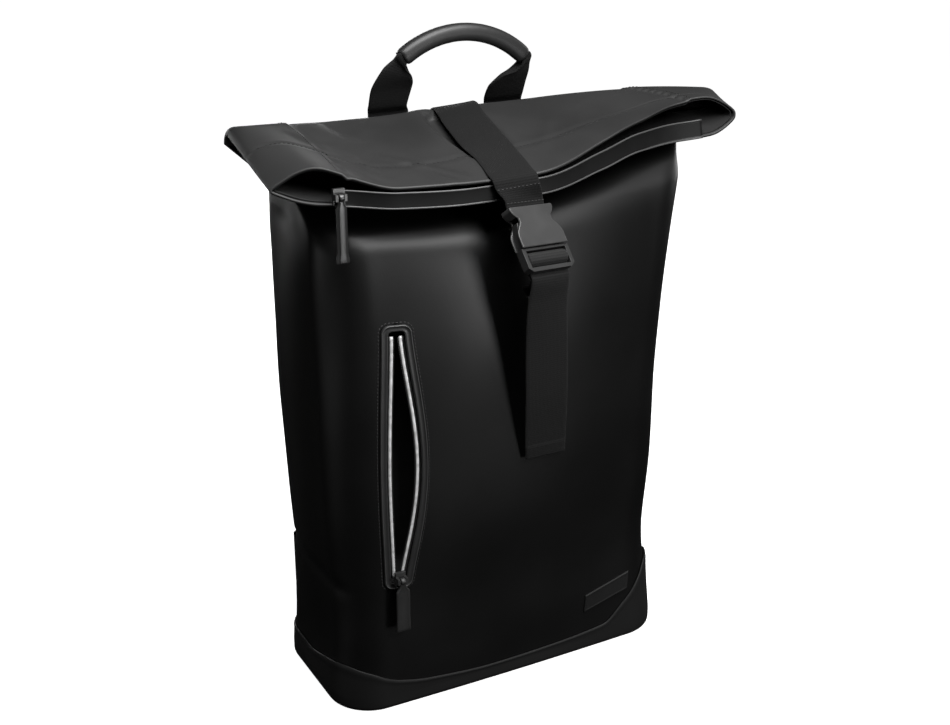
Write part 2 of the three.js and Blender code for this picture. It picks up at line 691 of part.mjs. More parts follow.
const SOCKET_SLOT = 6;

// The buckle's own frame: x across, -y outwards, -z along the strap from the socket's top.
function buckleFrame() {
  const turn = new THREE.Matrix4().makeRotationFromEuler(
    new THREE.Euler(-radians(BUCKLE_TILT), -radians(BUCKLE_TURN), radians(BUCKLE_YAW), 'ZYX'));
  return new THREE.Matrix4().makeTranslation(BUCKLE_TOP.x, BUCKLE_TOP.y, BUCKLE_TOP.z).multiply(turn);
}

function buckleGroup() {
  const group = new THREE.Group();
  group.applyMatrix4(buckleFrame());
  return group;
}

// Socket: a flat box with a finger notch in each side, a slot for the strap and a cavity for the prongs.
function makeSocket() {
  const [wide, neck] = [BUCKLE_WIDTH / 2, BUCKLE_NECK / 2];
  const along = (share) => -share * SOCKET_LENGTH;
  const side = [[neck, 0], [neck + 0.4, along(0.09)], [neck - 1.6, along(0.2)], [neck - 4.8, along(0.29)],
    [neck - 4.8, along(0.4)], [neck - 2.6, along(0.48)], [wide - 1.2, along(0.6)], [wide, along(0.72)],
    [wide, -SOCKET_LENGTH]];
  const outline = [...side, ...side.map(([x, z]) => [-x, z]).reverse()];
  let solid = toManifold(plate(outline, BUCKLE_THICKNESS));
  const inside = BUCKLE_THICKNESS / 2 - SOCKET_WALL;
  const slot = boxBetween([-STRAP_WIDTH / 2 - GAP, -WEBBING, -SOCKET_SLOT], [STRAP_WIDTH / 2 + GAP, WEBBING, 1]);
  const cavity = boxBetween([-wide - 1, -inside, -SOCKET_LENGTH - 1], [wide + 1, inside, -SOCKET_SLOT - SOCKET_WALL]);
  solid = solid.subtract(toManifold(slot)).subtract(toManifold(cavity));
  return makeMesh('buckle_socket', fromManifold(solid), 'plastic');
}

// Plug: two prongs and a guide that stand in the socket, and a frame with two bars for the webbing.
const PLUG_MIDDLE_BAR = -SOCKET_LENGTH - 8.2;
const PLUG_BAR = 1.7;
function makePlug() {
  const wide = BUCKLE_WIDTH / 2 + 0.5;
  const top = -SOCKET_LENGTH - GAP;
  const end = top - PLUG_LENGTH;
  const prong = PLUG_THICKNESS / 2 - SOCKET_WALL / 4;
  const frame = plate([[-wide, top], [-wide, end + 3], [-wide + 4, end], [wide - 4, end], [wide, end + 3],
    [wide, top]], PLUG_THICKNESS);
  const windowHalf = STRAP_WIDTH / 2 + 2 * GAP;
  const upper = boxBetween([-windowHalf, -PLUG_THICKNESS, PLUG_MIDDLE_BAR + PLUG_BAR],
    [windowHalf, PLUG_THICKNESS, top - 2]);
  const lower = boxBetween([-windowHalf, -PLUG_THICKNESS, end + 3.2],
    [windowHalf, PLUG_THICKNESS, PLUG_MIDDLE_BAR - PLUG_BAR]);
  const backOff = boxBetween([-windowHalf, 1.0, end - 1], [windowHalf, PLUG_THICKNESS, end + 4]);
  const barFront = boxBetween([-windowHalf, -PLUG_THICKNESS, PLUG_MIDDLE_BAR - 2 * PLUG_BAR],
    [windowHalf, -1.2, PLUG_MIDDLE_BAR + 2 * PLUG_BAR]);
  const barBack = boxBetween([-windowHalf, 1.9, PLUG_MIDDLE_BAR - 2 * PLUG_BAR],
    [windowHalf, PLUG_THICKNESS, PLUG_MIDDLE_BAR + 2 * PLUG_BAR]);
  const cuts = [upper, lower, backOff, barFront, barBack];
  const prongs = [-1, 1].map((side) => plate([[side * (wide - 7), top - 1], [side * (wide - 7), top + 8],
    [side * (wide - 10.5), top + 15], [side * (wide - 10), top + 21.5], [side * (wide - 6), top + 21],
    [side * (wide - 3), top + 12], [side * (wide - 2.5), top - 1]], 2 * prong));
  const guide = plate([[-2.5, top - 1], [-2.5, top + 18], [2.5, top + 18], [2.5, top - 1]], prong);
  const body = cuts.reduce((solid, cut) => solid.subtract(toManifold(cut)), toManifold(frame));
  const whole = [...prongs, guide].reduce((solid, g) => solid.add(toManifold(g)), body);
  return makeMesh('buckle_plug', fromManifold(whole), 'plastic');
}

// The front webbing: sewn to the front, up behind the plug, round its middle bar, and down as the tail.
function makeFrontWebbing() {
  const frame = buckleFrame();
  const bar = PLUG_MIDDLE_BAR;
  const loop = [[4.7, bar - 14], [4.7, bar - 4], [4.2, bar + 2.2], [2.4, bar + 4.2], [-0.2, bar + 4.5],
    [-2.6, bar + 3.1], [-3.4, bar], [-2.8, bar - 3.2], [-0.4, bar - 5.2], [1.7, bar - 7.0],
    [2.35, bar - 10], [2.35, bar - 14]].map(([y, z]) => vec(0, y, z).applyMatrix4(frame));
  const start = loop[0];
  const end = loop[loop.length - 1];
  const anchor = [0, 0.35, 0.7].map((share) => {
    const z = lerp(ANCHOR_END, start.z, share);
    const x = lerp(ANCHOR_X, start.x, share);
    const skin = frontSkin(x, z) - SEAT - WEBBING / 2;
    return vec(x, lerp(skin, start.y, smooth(0.1, 1, share)), z);
  });
  const rest = frontSkin(TAIL_X, TAIL_END) - 2 * SEAT - 2 * WEBBING;
  const tail = [0.12, 0.35, 0.6, 0.85, 1].map((share) => vec(
    lerp(end.x, TAIL_X, share), lerp(end.y, rest, share), lerp(end.z, TAIL_END, share)));
  const path = [...anchor, ...loop, ...tail];
  const level = vec(1, 0, 0);
  const turned = level.clone().transformDirection(frame);
  const share = [...anchor.map((_, i) => i / 4), ...loop.map(() => 1), ...tail.map((_, i) => 1 - i / 4)];
  const along = directions(path);
  const frames = path.map((point, i) => {
    const across = level.clone().lerp(turned, share[i]).normalize();
    return { point, across, width: STRAP_WIDTH, through: along[i].clone().cross(across).normalize(), thickness: WEBBING };
  });
  return makeMesh('front_webbing', sweep(FLAT_SECTION, frames), 'webbing');
}

// Handle
function gripPoint(angle, outwards = 0) {
  const radius = GRIP_RADIUS + outwards;
  return vec(
    HANDLE_X + HANDLE_LEAN_X + radius * Math.sin(radians(angle)),
    SLOT_BACK + HANDLE_LEAN_Y,
    GRIP_TOP - GRIP_RADIUS + radius * Math.cos(radians(angle)),
  );
}

function makeGrip() {
  const steps = 10;
  const frames = Array.from({ length: steps + 1 }, (_, i) => {
    const angle = GRIP_TURN + lerp(-GRIP_HALF_ANGLE, GRIP_HALF_ANGLE, i / steps);
    return {
      point: gripPoint(angle),
      across: vec(Math.sin(radians(angle)), 0, Math.cos(radians(angle))),
      width: GRIP_HEIGHT,
      through: vec(0, 1, 0),
      thickness: GRIP_DEPTH,
    };
  });
  return makeMesh('handle_grip', sweep(PADDED_SECTION, frames), 'fabric');
}

// The legs of the handle, from the grip's ends down. x is outwards from HANDLE_X as a share of half
// HANDLE_LEG_SPACING, lean a share of HANDLE_LEAN_Y, height a share of the way from the fold up to
// the grip's end, width a share of HANDLE_WEB, thickness in webbings, turn of the width in degrees.
// x, lean, height, width, thickness, turn
const LEG_ROWS_LEFT = [
  [0.919, 1.00, 0.84, 0.70, 3.0, -20],
  [1.000, 0.91, 0.70, 0.80, 2.0, -9],
  [1.035, 0.53, 0.40, 1.00, 1.6, 0],
  [1.050, 0.24, 0.07, 0.96, 1.2, 0],
];
const LEG_ROWS_RIGHT = [
  [1.000, 0.92, 0.66, 0.82, 2.4, 14],
  [0.950, 0.58, 0.36, 1.02, 1.7, 6],
  [0.965, 0.24, 0.08, 1.02, 1.2, 0],
];

function makeLeg(side) {
  const angle = GRIP_TURN + side * GRIP_HALF_ANGLE;
  const end = gripPoint(angle);
  const tangent = vec(Math.cos(radians(angle)), 0, -Math.sin(radians(angle))).multiplyScalar(side);
  const radial = vec(Math.sin(radians(angle)), 0, Math.cos(radians(angle)));
  const behind = SLOT_BACK + SEAT + WEBBING / 2;
  const rows = side < 0 ? LEG_ROWS_LEFT : LEG_ROWS_RIGHT;
  const x = (share) => HANDLE_X + side * share * HANDLE_LEG_SPACING / 2;
  const frames = rows.map(([share, lean, height, width, thickness, turn]) => ({
    point: vec(x(share), behind + lean * HANDLE_LEAN_Y, lerp(FOLD_HEIGHT, end.z, height)),
    across: vec(Math.cos(radians(turn)), 0, Math.sin(radians(turn))),
    width: width * HANDLE_WEB,
    thickness: thickness * WEBBING,
  }));
  frames.unshift({ point: end.clone().addScaledVector(tangent, 4 * GAP), across: radial.clone().multiplyScalar(side),
    width: 0.9 * GRIP_HEIGHT, thickness: 0.6 * GRIP_DEPTH, through: vec(0, 1, 0) });
  for (const z of [FOLD_HEIGHT - 4, YOKE_HIGH, YOKE_LOW + 6]) {
    frames.push({ point: vec(x(1), behind, z), across: vec(1, 0, 0), width: HANDLE_WEB, thickness: WEBBING });
  }
  const along = directions(frames.map((frame) => frame.point));
  frames.forEach((frame, i) => {
    frame.through ??= along[i].clone().cross(frame.across).normalize().multiplyScalar(-1);
  });
  return makeMesh(side < 0 ? 'handle_leg_left' : 'handle_leg_right', sweep(PADDED_SECTION, frames), 'webbing');
}

// Back
const YOKE_FACE = SLOT_BACK + SEAT + WEBBING + GAP;
function makeYoke() {
  const box = boxBetween([HANDLE_X - YOKE_WIDTH / 2, YOKE_FACE + 2 * GAP, YOKE_LOW],
    [HANDLE_X + YOKE_WIDTH / 2, YOKE_FACE + 2 * GAP + YOKE_THICKNESS, YOKE_HIGH]);
  return makeMesh('back_yoke', box, 'webbing');
}

// A shoulder strap's middle line from the yoke down: outwards from the start, back from the bag and
// height share of YOKE_LOW.
const PAD_ROWS = [
  [0, 0.55, 1.000, 0.90, 0.45],
  [1, 0.95, 0.975, 1.00, 0.85],
  [3, 1.70, 0.915, 1.00, 1.00],
  [7, 2.40, 0.820, 1.00, 1.00],
  [14, 2.65, 0.710, 0.98, 1.00],
  [22, 2.40, 0.600, 0.94, 1.00],
  [30, 1.85, 0.500, 0.86, 0.95],
  [34, 1.50, 0.455, 0.66, 0.60],
];

function shoulderPath(side) {
  const middle = 8;
  return PAD_ROWS.map(([out, back, height]) => vec(
    middle + side * (PAD_SPACING / 2 + out), BODY_DEPTH / 2 + PAD_THICKNESS * back + GAP, YOKE_LOW * height - GAP));
}

function makeShoulderPad(side) {
  const path = shoulderPath(side);
  const frames = ribbonFrames(path, vec(1, 0, 0), PAD_WIDTH, PAD_THICKNESS).map((frame, i) => ({
    ...frame, width: PAD_WIDTH * PAD_ROWS[i][3], thickness: PAD_THICKNESS * PAD_ROWS[i][4] }));
  return makeMesh(side < 0 ? 'shoulder_pad_left' : 'shoulder_pad_right', sweep(PADDED_SECTION, frames), 'fabric');
}

const ANCHOR = { out: 131, y: BODY_DEPTH / 2 + 3.2, z: 92 };
function makeShoulderWebbing(side) {
  const path = shoulderPath(side);
  const end = path[path.length - 1].clone();
  const middle = 8;
  const adjuster = end.clone().add(vec(side * 3, -1.5, -ADJUSTER_LENGTH / 2 - 2 * GAP));
  const out = side < 0 ? 'left' : 'right';
  const [low, high] = [-ADJUSTER_LENGTH / 2, ADJUSTER_LENGTH / 2];
  const frame = toManifold(boxBetween([-ADJUSTER_WIDTH / 2, -ADJUSTER_THICKNESS / 2, low],
    [ADJUSTER_WIDTH / 2, ADJUSTER_THICKNESS / 2, high]));
  const windowHalf = SHOULDER_WEB / 2 + 9 * GAP;
  const windows = [[low + 4, low + 10], [high - 10, high - 4]].map(([a, b]) => toManifold(
    boxBetween([-windowHalf, -ADJUSTER_THICKNESS, a], [windowHalf, ADJUSTER_THICKNESS, b])));
  const under = toManifold(boxBetween([-windowHalf, -ADJUSTER_THICKNESS, low - 1],
    [windowHalf, -ADJUSTER_THICKNESS / 2 + 3, low + 6]));
  const buckle = makeMesh(`strap_adjuster_${out}`,
    fromManifold(windows.reduce((solid, w) => solid.subtract(w), frame).subtract(under)), 'plastic');
  buckle.position.copy(adjuster);
  const start = adjuster.clone().add(vec(0, -ADJUSTER_THICKNESS / 2 + 1.2, low + 4));
  const finish = vec(middle * 0.3 + side * (ANCHOR.out - 4), ANCHOR.y + WEBBING, ANCHOR.z + 8);
  const route = [0, 0.2, 0.5, 0.8, 1].map((share) => vec(
    lerp(start.x, finish.x, smooth(0, 1, share)), lerp(start.y, finish.y, share), lerp(start.z, finish.z, share)));
  const along = directions(route);
  const frames = route.map((point, i) => {
    const across = along[i].clone().cross(vec(0, 1, 0)).normalize();
    return { point, across, width: SHOULDER_WEB, through: along[i].clone().cross(across).normalize(), thickness: WEBBING };
  });
  frames[0].across = vec(1, 0, 0);
  frames[0].through = vec(0, -1, 0);
  const web = makeMesh(`shoulder_webbing_${out}`, sweep(FLAT_SECTION, frames), 'webbing');
  return [buckle, web];
}

// A triangle sewn into the rear corner, which holds the shoulder webbing's lower end.
function makeAnchorTab(side) {
  const [z, out] = [ANCHOR.z, ANCHOR.out];
  const corner = bodySkin((section) => sectionPoint(section, side, 0.4), z);
  const edge = side * (Math.abs(corner.x) - 11.5);
  const outline = [[side * (out - 18), z + 4], [side * (out - 6), z + 24], [edge, z + 12], [edge, z - 36],
    [side * (out - 9), z - 26]];
  const face = BODY_DEPTH / 2 + SEAT;
  const geometry = plate(outline, WEBBING).translate(0, face + WEBBING / 2, 0);
  return makeMesh(side < 0 ? 'anchor_tab_left' : 'anchor_tab_right', geometry, 'webbing');
}

function makePatch() {
  const [columns, rows] = [4, 2];
  const turn = radians(PATCH_TURN);
  const face = (proud) => Array.from({ length: rows + 1 }, (_, r) => (
    Array.from({ length: columns + 1 }, (__, c) => {
      const v = (r / rows - 0.5) * PATCH_HEIGHT;
      const u = (c / columns - 0.5) * PATCH_WIDTH + PATCH_SLANT * v;
      const x = PATCH_X + u * Math.cos(turn) - v * Math.sin(turn);
      const z = PATCH_Z + u * Math.sin(turn) + v * Math.cos(turn);
      return vec(x, frontSkin(x, z) - proud, z);
    })));
  return makeMesh('label_patch', sheetSolid(face(SEAT), face(SEAT + PATCH_THICKNESS)), 'patch');
}

const backpack = new THREE.Group();
backpack.add(makeBody());
backpack.add(makeMesh('roll_flap', tube(flapSections), 'fabric'));
backpack.add(makeBoot());
backpack.add(makeBand());
backpack.add(makeWelt(), makePocketTape(-1), makePocketTape(1), makePouch());

const sliderShare = BAND_LEFT + 0.005;
const sliderSeat = mouthSection().front(sliderShare).add(vec(0, -2.4, WALL + BAND_LIFT + BAND_HEIGHT / 2 + 0.6));
backpack.add(makeZipPull('mouth_zip', sliderSeat, MOUTH_PULLER_LENGTH, MOUTH_PULLER_WIDTH, 'metal'));
const pocketSeatZ = SLIT_LOW + 1;
const pocketSeatX = SLIT_X - SLIT_LEAN;
const pocketSeatY = frontSkin(pocketSeatX, pocketSeatZ) - WELT_SEAT - WELT_THICKNESS - SEAT;
backpack.add(makeZipPull('pocket_zip', vec(pocketSeatX, pocketSeatY, pocketSeatZ), POCKET_PULLER_LENGTH,
  POCKET_PULLER_WIDTH, 'plastic'));

backpack.add(makeClosureStrap());
const buckle = buckleGroup();
buckle.add(makeSocket(), makePlug());
backpack.add(buckle, makeFrontWebbing());
backpack.add(makeGrip(), makeYoke(), makePatch());
for (const side of [-1, 1]) {
  backpack.add(makeLeg(side), makeShoulderPad(side), ...makeShoulderWebbing(side), makeAnchorTab(side));
}

export default backpack;
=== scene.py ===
# %% [markdown]
# # A rolltop backpack
# This lesson dresses a plain solid model of a black rolltop backpack. The bag stands on its base, its
# roll is folded forward, and one strap with a side-release buckle holds it shut. The solids are already
# in the scene, in metres, with the front facing -Y. Each step makes one real piece of the bag as a
# surface, gives it a finish, and lets it take the place of the plain solid.

import bmesh
import bpy
import numpy as np
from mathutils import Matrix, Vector


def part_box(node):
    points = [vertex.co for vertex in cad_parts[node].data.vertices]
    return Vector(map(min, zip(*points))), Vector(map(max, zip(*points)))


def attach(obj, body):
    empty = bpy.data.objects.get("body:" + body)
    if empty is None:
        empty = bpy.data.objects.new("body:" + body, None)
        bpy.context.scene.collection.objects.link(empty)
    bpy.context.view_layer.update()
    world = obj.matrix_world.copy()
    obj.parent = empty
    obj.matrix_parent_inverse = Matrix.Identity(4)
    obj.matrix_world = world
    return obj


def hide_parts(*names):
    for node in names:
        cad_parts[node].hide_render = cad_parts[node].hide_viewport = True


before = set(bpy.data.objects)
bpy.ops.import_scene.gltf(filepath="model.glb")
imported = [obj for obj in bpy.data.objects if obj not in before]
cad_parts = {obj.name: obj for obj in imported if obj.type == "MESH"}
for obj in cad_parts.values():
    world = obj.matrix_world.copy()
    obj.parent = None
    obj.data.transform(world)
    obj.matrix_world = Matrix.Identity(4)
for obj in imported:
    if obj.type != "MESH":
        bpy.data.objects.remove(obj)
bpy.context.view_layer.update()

# %% [markdown]
# ## Camera
# The bag is seen from the front left and from above, through a slightly long lens, so its upright edges
# lean together a little. The camera is placed by its position and by the point that it looks at. There
# is no depth of field, so every seam stays sharp.

# %% Camera
CAMERA_AT = Vector((-0.5306, -0.9794, 0.6916))
CAMERA_AIM = Vector((0.0432, 0.0773, 0.2300))
LENS = 53.05

scene = bpy.context.scene
camera_data = bpy.data.cameras.new("camera")
camera_data.lens = LENS
camera_data.sensor_width = 36
camera = bpy.data.objects.new("camera", camera_data)
camera.location = CAMERA_AT
camera.rotation_euler = (CAMERA_AIM - CAMERA_AT).to_track_quat("-Z", "Y").to_euler()
scene.collection.objects.link(camera)
scene.camera = camera
print("camera:", tuple(round(v, 3) for v in camera.rotation_euler))

# %% [markdown]
# ## Tables and curves
# The bag's shape is held in short tables, the same ones that the solids were made from. Straight lines
# between rows would show as facets, so a table is read with cubic pieces. Each piece's slope at a row is
# the harmonic mean of the slopes beside it, which keeps the curve from overshooting.

# %% Reading tables
def smooth(low, high, x):
    """0 below low and 1 above high, with 3t^2 - 2t^3 between them."""
    t = np.clip((x - low) / (high - low), 0, 1)
    return t * t * (3 - 2 * t)


def hump(x, middle, width):
    """A bell curve of height 1 at middle: e to the power of minus the squared distance in widths."""
    return np.exp(-((x - middle) / width) ** 2)


def curve_through(xs, ys, x):
    """Cubic pieces through the points (xs, ys), read at x, with harmonic slopes."""
    xs, ys = np.asarray(xs, float), np.asarray(ys, float)
    gaps = np.diff(xs)
    slopes = np.diff(ys) / gaps
    same = slopes[:-1] * slopes[1:] > 0
    total = np.where(same, slopes[:-1] + slopes[1:], 1)
    inner = np.where(same, 2 * slopes[:-1] * slopes[1:] / total, 0)
    tangent = np.concatenate([slopes[:1], inner, slopes[-1:]])
    i = np.clip(np.searchsorted(xs, x) - 1, 0, len(xs) - 2)
    h = gaps[i]
    t = np.clip((x - xs[i]) / h, 0, 1)
    return ((2 * t**3 - 3 * t**2 + 1) * ys[i] + (t**3 - 2 * t**2 + t) * h * tangent[i]
            + (3 * t**2 - 2 * t**3) * ys[i + 1] + (t**3 - t**2) * h * tangent[i + 1])


def xyz(x, y, z):
    """Three arrays as one array of points."""
    return np.stack(np.broadcast_arrays(x, y, z), axis=-1).astype(float)


def unit(v):
    """Vectors at length 1."""
    return v / np.maximum(np.linalg.norm(v, axis=-1, keepdims=True), 1e-9)


def mix(a, b, share):
    """The point a share of the way from a to b."""
    return a + (b - a) * share


# %% [markdown]
# ## Meshes from grids
# Nearly every piece here is a grid of points: rows one way, columns the other. A grid can wrap round
# either way, as a tube does, and open ends can be closed by a fan. The whole grid goes into the mesh in
# one call, which is far quicker than adding vertices one by one. Lengths are in millimetres until this
# point, because a sewing pattern is, and in metres from here on.

# %% Grid to mesh
MM = 0.001


def link(name, mesh):
    """Puts a mesh into the scene as a smooth-shaded piece that rides with the bag."""
    mesh.polygons.foreach_set("use_smooth", np.ones(len(mesh.polygons), bool))
    mesh.update()
    piece = bpy.data.objects.new(name, mesh)
    scene.collection.objects.link(piece)
    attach(piece, "root")
    return piece


def raw_mesh(name, points, corners, sizes, uv=None):
    """A mesh from points, the corner indices of all faces in a row, and each face's corner count."""
    mesh = bpy.data.meshes.new(name)
    points = np.asarray(points, float).reshape(-1, 3) * MM
    corners = np.asarray(corners, np.int32).ravel()
    sizes = np.asarray(sizes, np.int32)
    mesh.vertices.add(len(points))
    mesh.vertices.foreach_set("co", points.ravel())
    mesh.loops.add(len(corners))
    mesh.loops.foreach_set("vertex_index", corners)
    mesh.polygons.add(len(sizes))
    mesh.polygons.foreach_set("loop_start", np.concatenate([[0], np.cumsum(sizes)[:-1]]).astype(np.int32))
    if uv is not None:
        mesh.uv_layers.new(name="cloth").data.foreach_set("uv", np.asarray(uv, float).ravel() * MM)
    mesh.validate()
    mesh.update(calc_edges=True)
    return mesh


def grid_lengths(points, wrap):
    """Mean length along axis 0, measured from the first row, with one more step if the grid wraps."""
    closed = np.concatenate([points, points[:1]]) if wrap else points
    steps = np.linalg.norm(np.diff(closed, axis=0), axis=-1).mean(axis=1)
    return np.concatenate([[0], np.cumsum(steps)])


def grid_mesh(name, points, wrap_rows=False, wrap_columns=False, caps=False, same=None):
    """A mesh of quads on a grid. caps closes both open ends of a tube with fans. same maps each point's
    index to the index that is kept, to sew two columns together. The UV map holds true lengths."""
    rows, columns = points.shape[:2]
    r, c = np.meshgrid(np.arange(rows if wrap_rows else rows - 1),
                       np.arange(columns if wrap_columns else columns - 1), indexing="ij")
    r, c = r.ravel(), c.ravel()
    corner_rows = np.stack([r, r, r + 1, r + 1], axis=1)
    corner_columns = np.stack([c, c + 1, c + 1, c], axis=1)
    corners = (corner_rows % rows) * columns + corner_columns % columns
    along = grid_lengths(points, wrap_rows)
    across = grid_lengths(points.transpose(1, 0, 2), wrap_columns)
    uv = np.stack([across[corner_columns], along[corner_rows]], axis=-1).reshape(-1, 2)
    flat = points.reshape(-1, 3)
    sizes = np.full(len(corners), 4)
    corners = corners.ravel()
    if caps:
        for row, way in ((0, 1), (rows - 1, -1)):
            middle = len(flat)
            flat = np.concatenate([flat, points[row].mean(axis=0)[None]])
            i = np.arange(columns)
            j = (i + 1) % columns
            rim = row * columns + np.stack([j, i] if way > 0 else [i, j], axis=1)
            fan = np.concatenate([rim, np.full((columns, 1), middle)], axis=1)
            corners = np.concatenate([corners, fan.ravel()])
            sizes = np.concatenate([sizes, np.full(columns, 3)])
            spot = np.tile([across[-1] / 2, along[row]], (3 * columns, 1))
            uv = np.concatenate([uv, spot])
    if same is not None:
        corners = same[corners]
    return raw_mesh(name, flat, corners, sizes, uv)


def grid_piece(name, points, **options):
    """A grid as a piece."""
    piece = link(name, grid_mesh(name, points, **options))
    print(f"{name}: {len(piece.data.polygons)} faces")
    return piece


def thicken(piece, thickness, offset=-1.0):
    """Gives a sheet its thickness, inwards from its outer face."""
    solidify = piece.modifiers.new("thickness", "SOLIDIFY")
    solidify.thickness = thickness * MM
    solidify.offset = offset
    solidify.use_even_offset = True
    solidify.use_quality_normals = True
    return piece


def round_edges(piece, width, segments=2, angle=35):
    """Rounds the sharp edges, as a mould or a fold does."""
    bevel = piece.modifiers.new("round", "BEVEL")
    bevel.width = width * MM
    bevel.segments = segments
    bevel.limit_method = "ANGLE"
    bevel.angle_limit = np.radians(angle)
    bevel.harden_normals = False
    return piece


def stand_for(piece, *nodes, slot):
    """Lets a piece take the place of plain solids by hiding them. slot is not used."""
    if nodes:
        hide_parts(*nodes)
    return piece


# %% [markdown]
# ## Shader sums
# A finish is a net of nodes. Wired by hand it takes many lines, so a wire here is a small object that
# knows arithmetic: adding two wires adds a Math node. A finish has one method for every other node. It
# sets the node's settings first and its sockets after, because some sockets only appear once a setting
# is made.

# %% Wires and finishes
class Wire:
    """One output socket. Sums, differences and products of wires add Math nodes."""

    def __init__(self, finish, socket):
        self.finish = finish
        self.socket = socket

    def maths(self, operation, *values):
        return self.finish.node("ShaderNodeMath", {"operation": operation}, dict(enumerate(values)))

    def __add__(self, other):
        return self.maths("ADD", self, other)

    def __sub__(self, other):
        return self.maths("SUBTRACT", self, other)

    def __rsub__(self, other):
        return self.maths("SUBTRACT", other, self)

    def __mul__(self, other):
        return self.maths("MULTIPLY", self, other)

    __radd__ = __add__
    __rmul__ = __mul__

    def sine(self):
        return self.maths("SINE", self)

    def size(self):
        return self.maths("ABSOLUTE", self)

    def between(self, low, high):
        """0 below low and 1 above high, smooth between them."""
        return self.finish.node("ShaderNodeMapRange", {"interpolation_type": "SMOOTHSTEP"},
                                {0: self, 1: low, 2: high, 3: 0.0, 4: 1.0})


class Finish:
    """A material with one Principled shader."""

    def __init__(self, name, **constants):
        self.material = bpy.data.materials.new(name)
        self.material.use_nodes = True
        self.tree = self.material.node_tree
        self.shader = self.tree.nodes["Principled BSDF"]
        for socket, value in constants.items():
            self.shader.inputs[socket.replace("_", " ")].default_value = value

    def node(self, kind, settings=None, sockets=None, output=0):
        node = self.tree.nodes.new(kind)
        for key, value in (settings or {}).items():
            setattr(node, key, value)
        for key, value in (sockets or {}).items():
            if isinstance(value, Wire):
                self.tree.links.new(value.socket, node.inputs[key])
            else:
                node.inputs[key].default_value = value
        return Wire(self, node.outputs[output])

    def feed(self, socket, wire):
        self.tree.links.new(wire.socket, self.shader.inputs[socket])
        return self

    def place(self):
        return self.node("ShaderNodeTexCoord", output="Object")

    def cloth(self):
        return self.node("ShaderNodeUVMap", {"uv_map": "cloth"})

    def split(self, vector):
        node = self.node("ShaderNodeSeparateXYZ", sockets={0: vector}).socket.node
        return [Wire(self, output) for output in node.outputs]

    def noise(self, scale, detail=2.0):
        return self.node("ShaderNodeTexNoise", {"noise_dimensions": "3D"},
                         {"Vector": self.place(), "Scale": scale, "Detail": detail, "Roughness": 0.5})

    def blend(self, one, other, share):
        return self.node("ShaderNodeMix", {"data_type": "RGBA"}, {0: share, 6: one, 7: other}, output=2)

    def relief(self, height, strength, distance):
        """Feeds a height to the shader's normal. distance is the height of 1, in millimetres."""
        return self.feed("Normal", self.node("ShaderNodeBump", None, {
            "Height": height, "Strength": strength, "Distance": distance * MM}))


def grey(value, warm=0.0):
    """A near neutral colour, a little warmer or cooler."""
    return (value * (1 + warm), value, value * (1 - warm), 1.0)


def wear(piece, finish):
    """Puts a finish on a piece, over all its slots."""
    piece.data.materials.clear()
    piece.data.materials.append(finish.material)
    return piece


# %% [markdown]
# ## Finishes
# The body is a polyester with a smooth rubbery coating: black, with a broad soft shine and a grain so
# fine that it only breaks up the highlight. The coating is a low, wide reflection on a very dark base.
# Its roughness varies a little in clouds, as handled fabric does, and a fine noise moves its normal.
# The body, the roll, the base and the grip are one kind of cloth in four depths of black. The roll's depth
# is painted light: it is the body's own cloth, made about five times lighter where it faces the light above.

# %% Coated fabric
def coated_fabric(name, tone, roughness, shine=0.42):
    """Coated cloth. tone is its base colour, and shine the strength of its reflection."""
    finish = Finish(name, Specular_IOR_Level=shine)
    clouds = finish.noise(9.0, 3.0)
    grain = finish.noise(1400.0, 2.0)
    thread = finish.noise(520.0, 1.0)
    finish.feed("Base Color", finish.blend(grey(tone * 0.8), grey(tone * 1.25), clouds.between(0.3, 0.7)))
    finish.feed("Roughness", roughness + 0.10 * (clouds - 0.5) + 0.08 * (grain - 0.5))
    finish.relief(grain * 0.6 + thread * 0.5, 0.35, 0.12)
    return finish


body_finish = coated_fabric("coated_fabric", 0.0030, 0.43)
# painted light: the roll is the body's cloth at about five times its tone, lighter where it faces the lamp
# above
roll_finish_painted_light = coated_fabric("coated_fabric_roll", 0.016, 0.52)
base_finish = coated_fabric("coated_fabric_base", 0.0085, 0.60, 0.30)
grip_finish = coated_fabric("coated_fabric_grip", 0.015, 0.46)

# %% [markdown]
# Webbing is woven from thick yarns. Its weave is a chequer of small humps: where one set of yarns lies on
# top the humps run along the strap, and on the other squares they run across it. The pattern follows the
# piece's own UV map, which holds true lengths, so the yarns keep their size round every bend.

# %% Webbing
def woven(name, tone, pitch, depth, roughness=0.85, stretch=1.6):
    """Woven webbing. pitch is a yarn's width and depth its height, in millimetres, and stretch is how much
    longer than wide a yarn shows."""
    finish = Finish(name, Specular_IOR_Level=0.12, Sheen_Weight=0.02, Sheen_Roughness=0.6)
    u, v, _ = finish.split(finish.cloth())
    across = (u * (np.pi / (pitch * MM))).sine()
    along = (v * (np.pi / (pitch * stretch * MM))).sine()
    over = (across * along).between(-0.25, 0.25)
    height = over * across.size() + (1 - over) * along.size()
    fibre = finish.noise(2600.0, 1.0)
    clouds = finish.noise(30.0, 2.0)
    # the base colour is partly painted shade, darker in the weave's hollows where the yarns dip, and partly
    # random tone from fibre and clouds
    weave_shade_and_tone = height * 0.7 + fibre * 0.25 + clouds * 0.25
    finish.feed("Base Color", finish.blend(grey(tone * 0.55), grey(tone * 1.4), weave_shade_and_tone.between(0.1, 1.1)))
    finish.feed("Roughness", roughness - 0.12 * height)
    finish.relief(height + fibre * 0.2, 0.8, depth)
    return finish


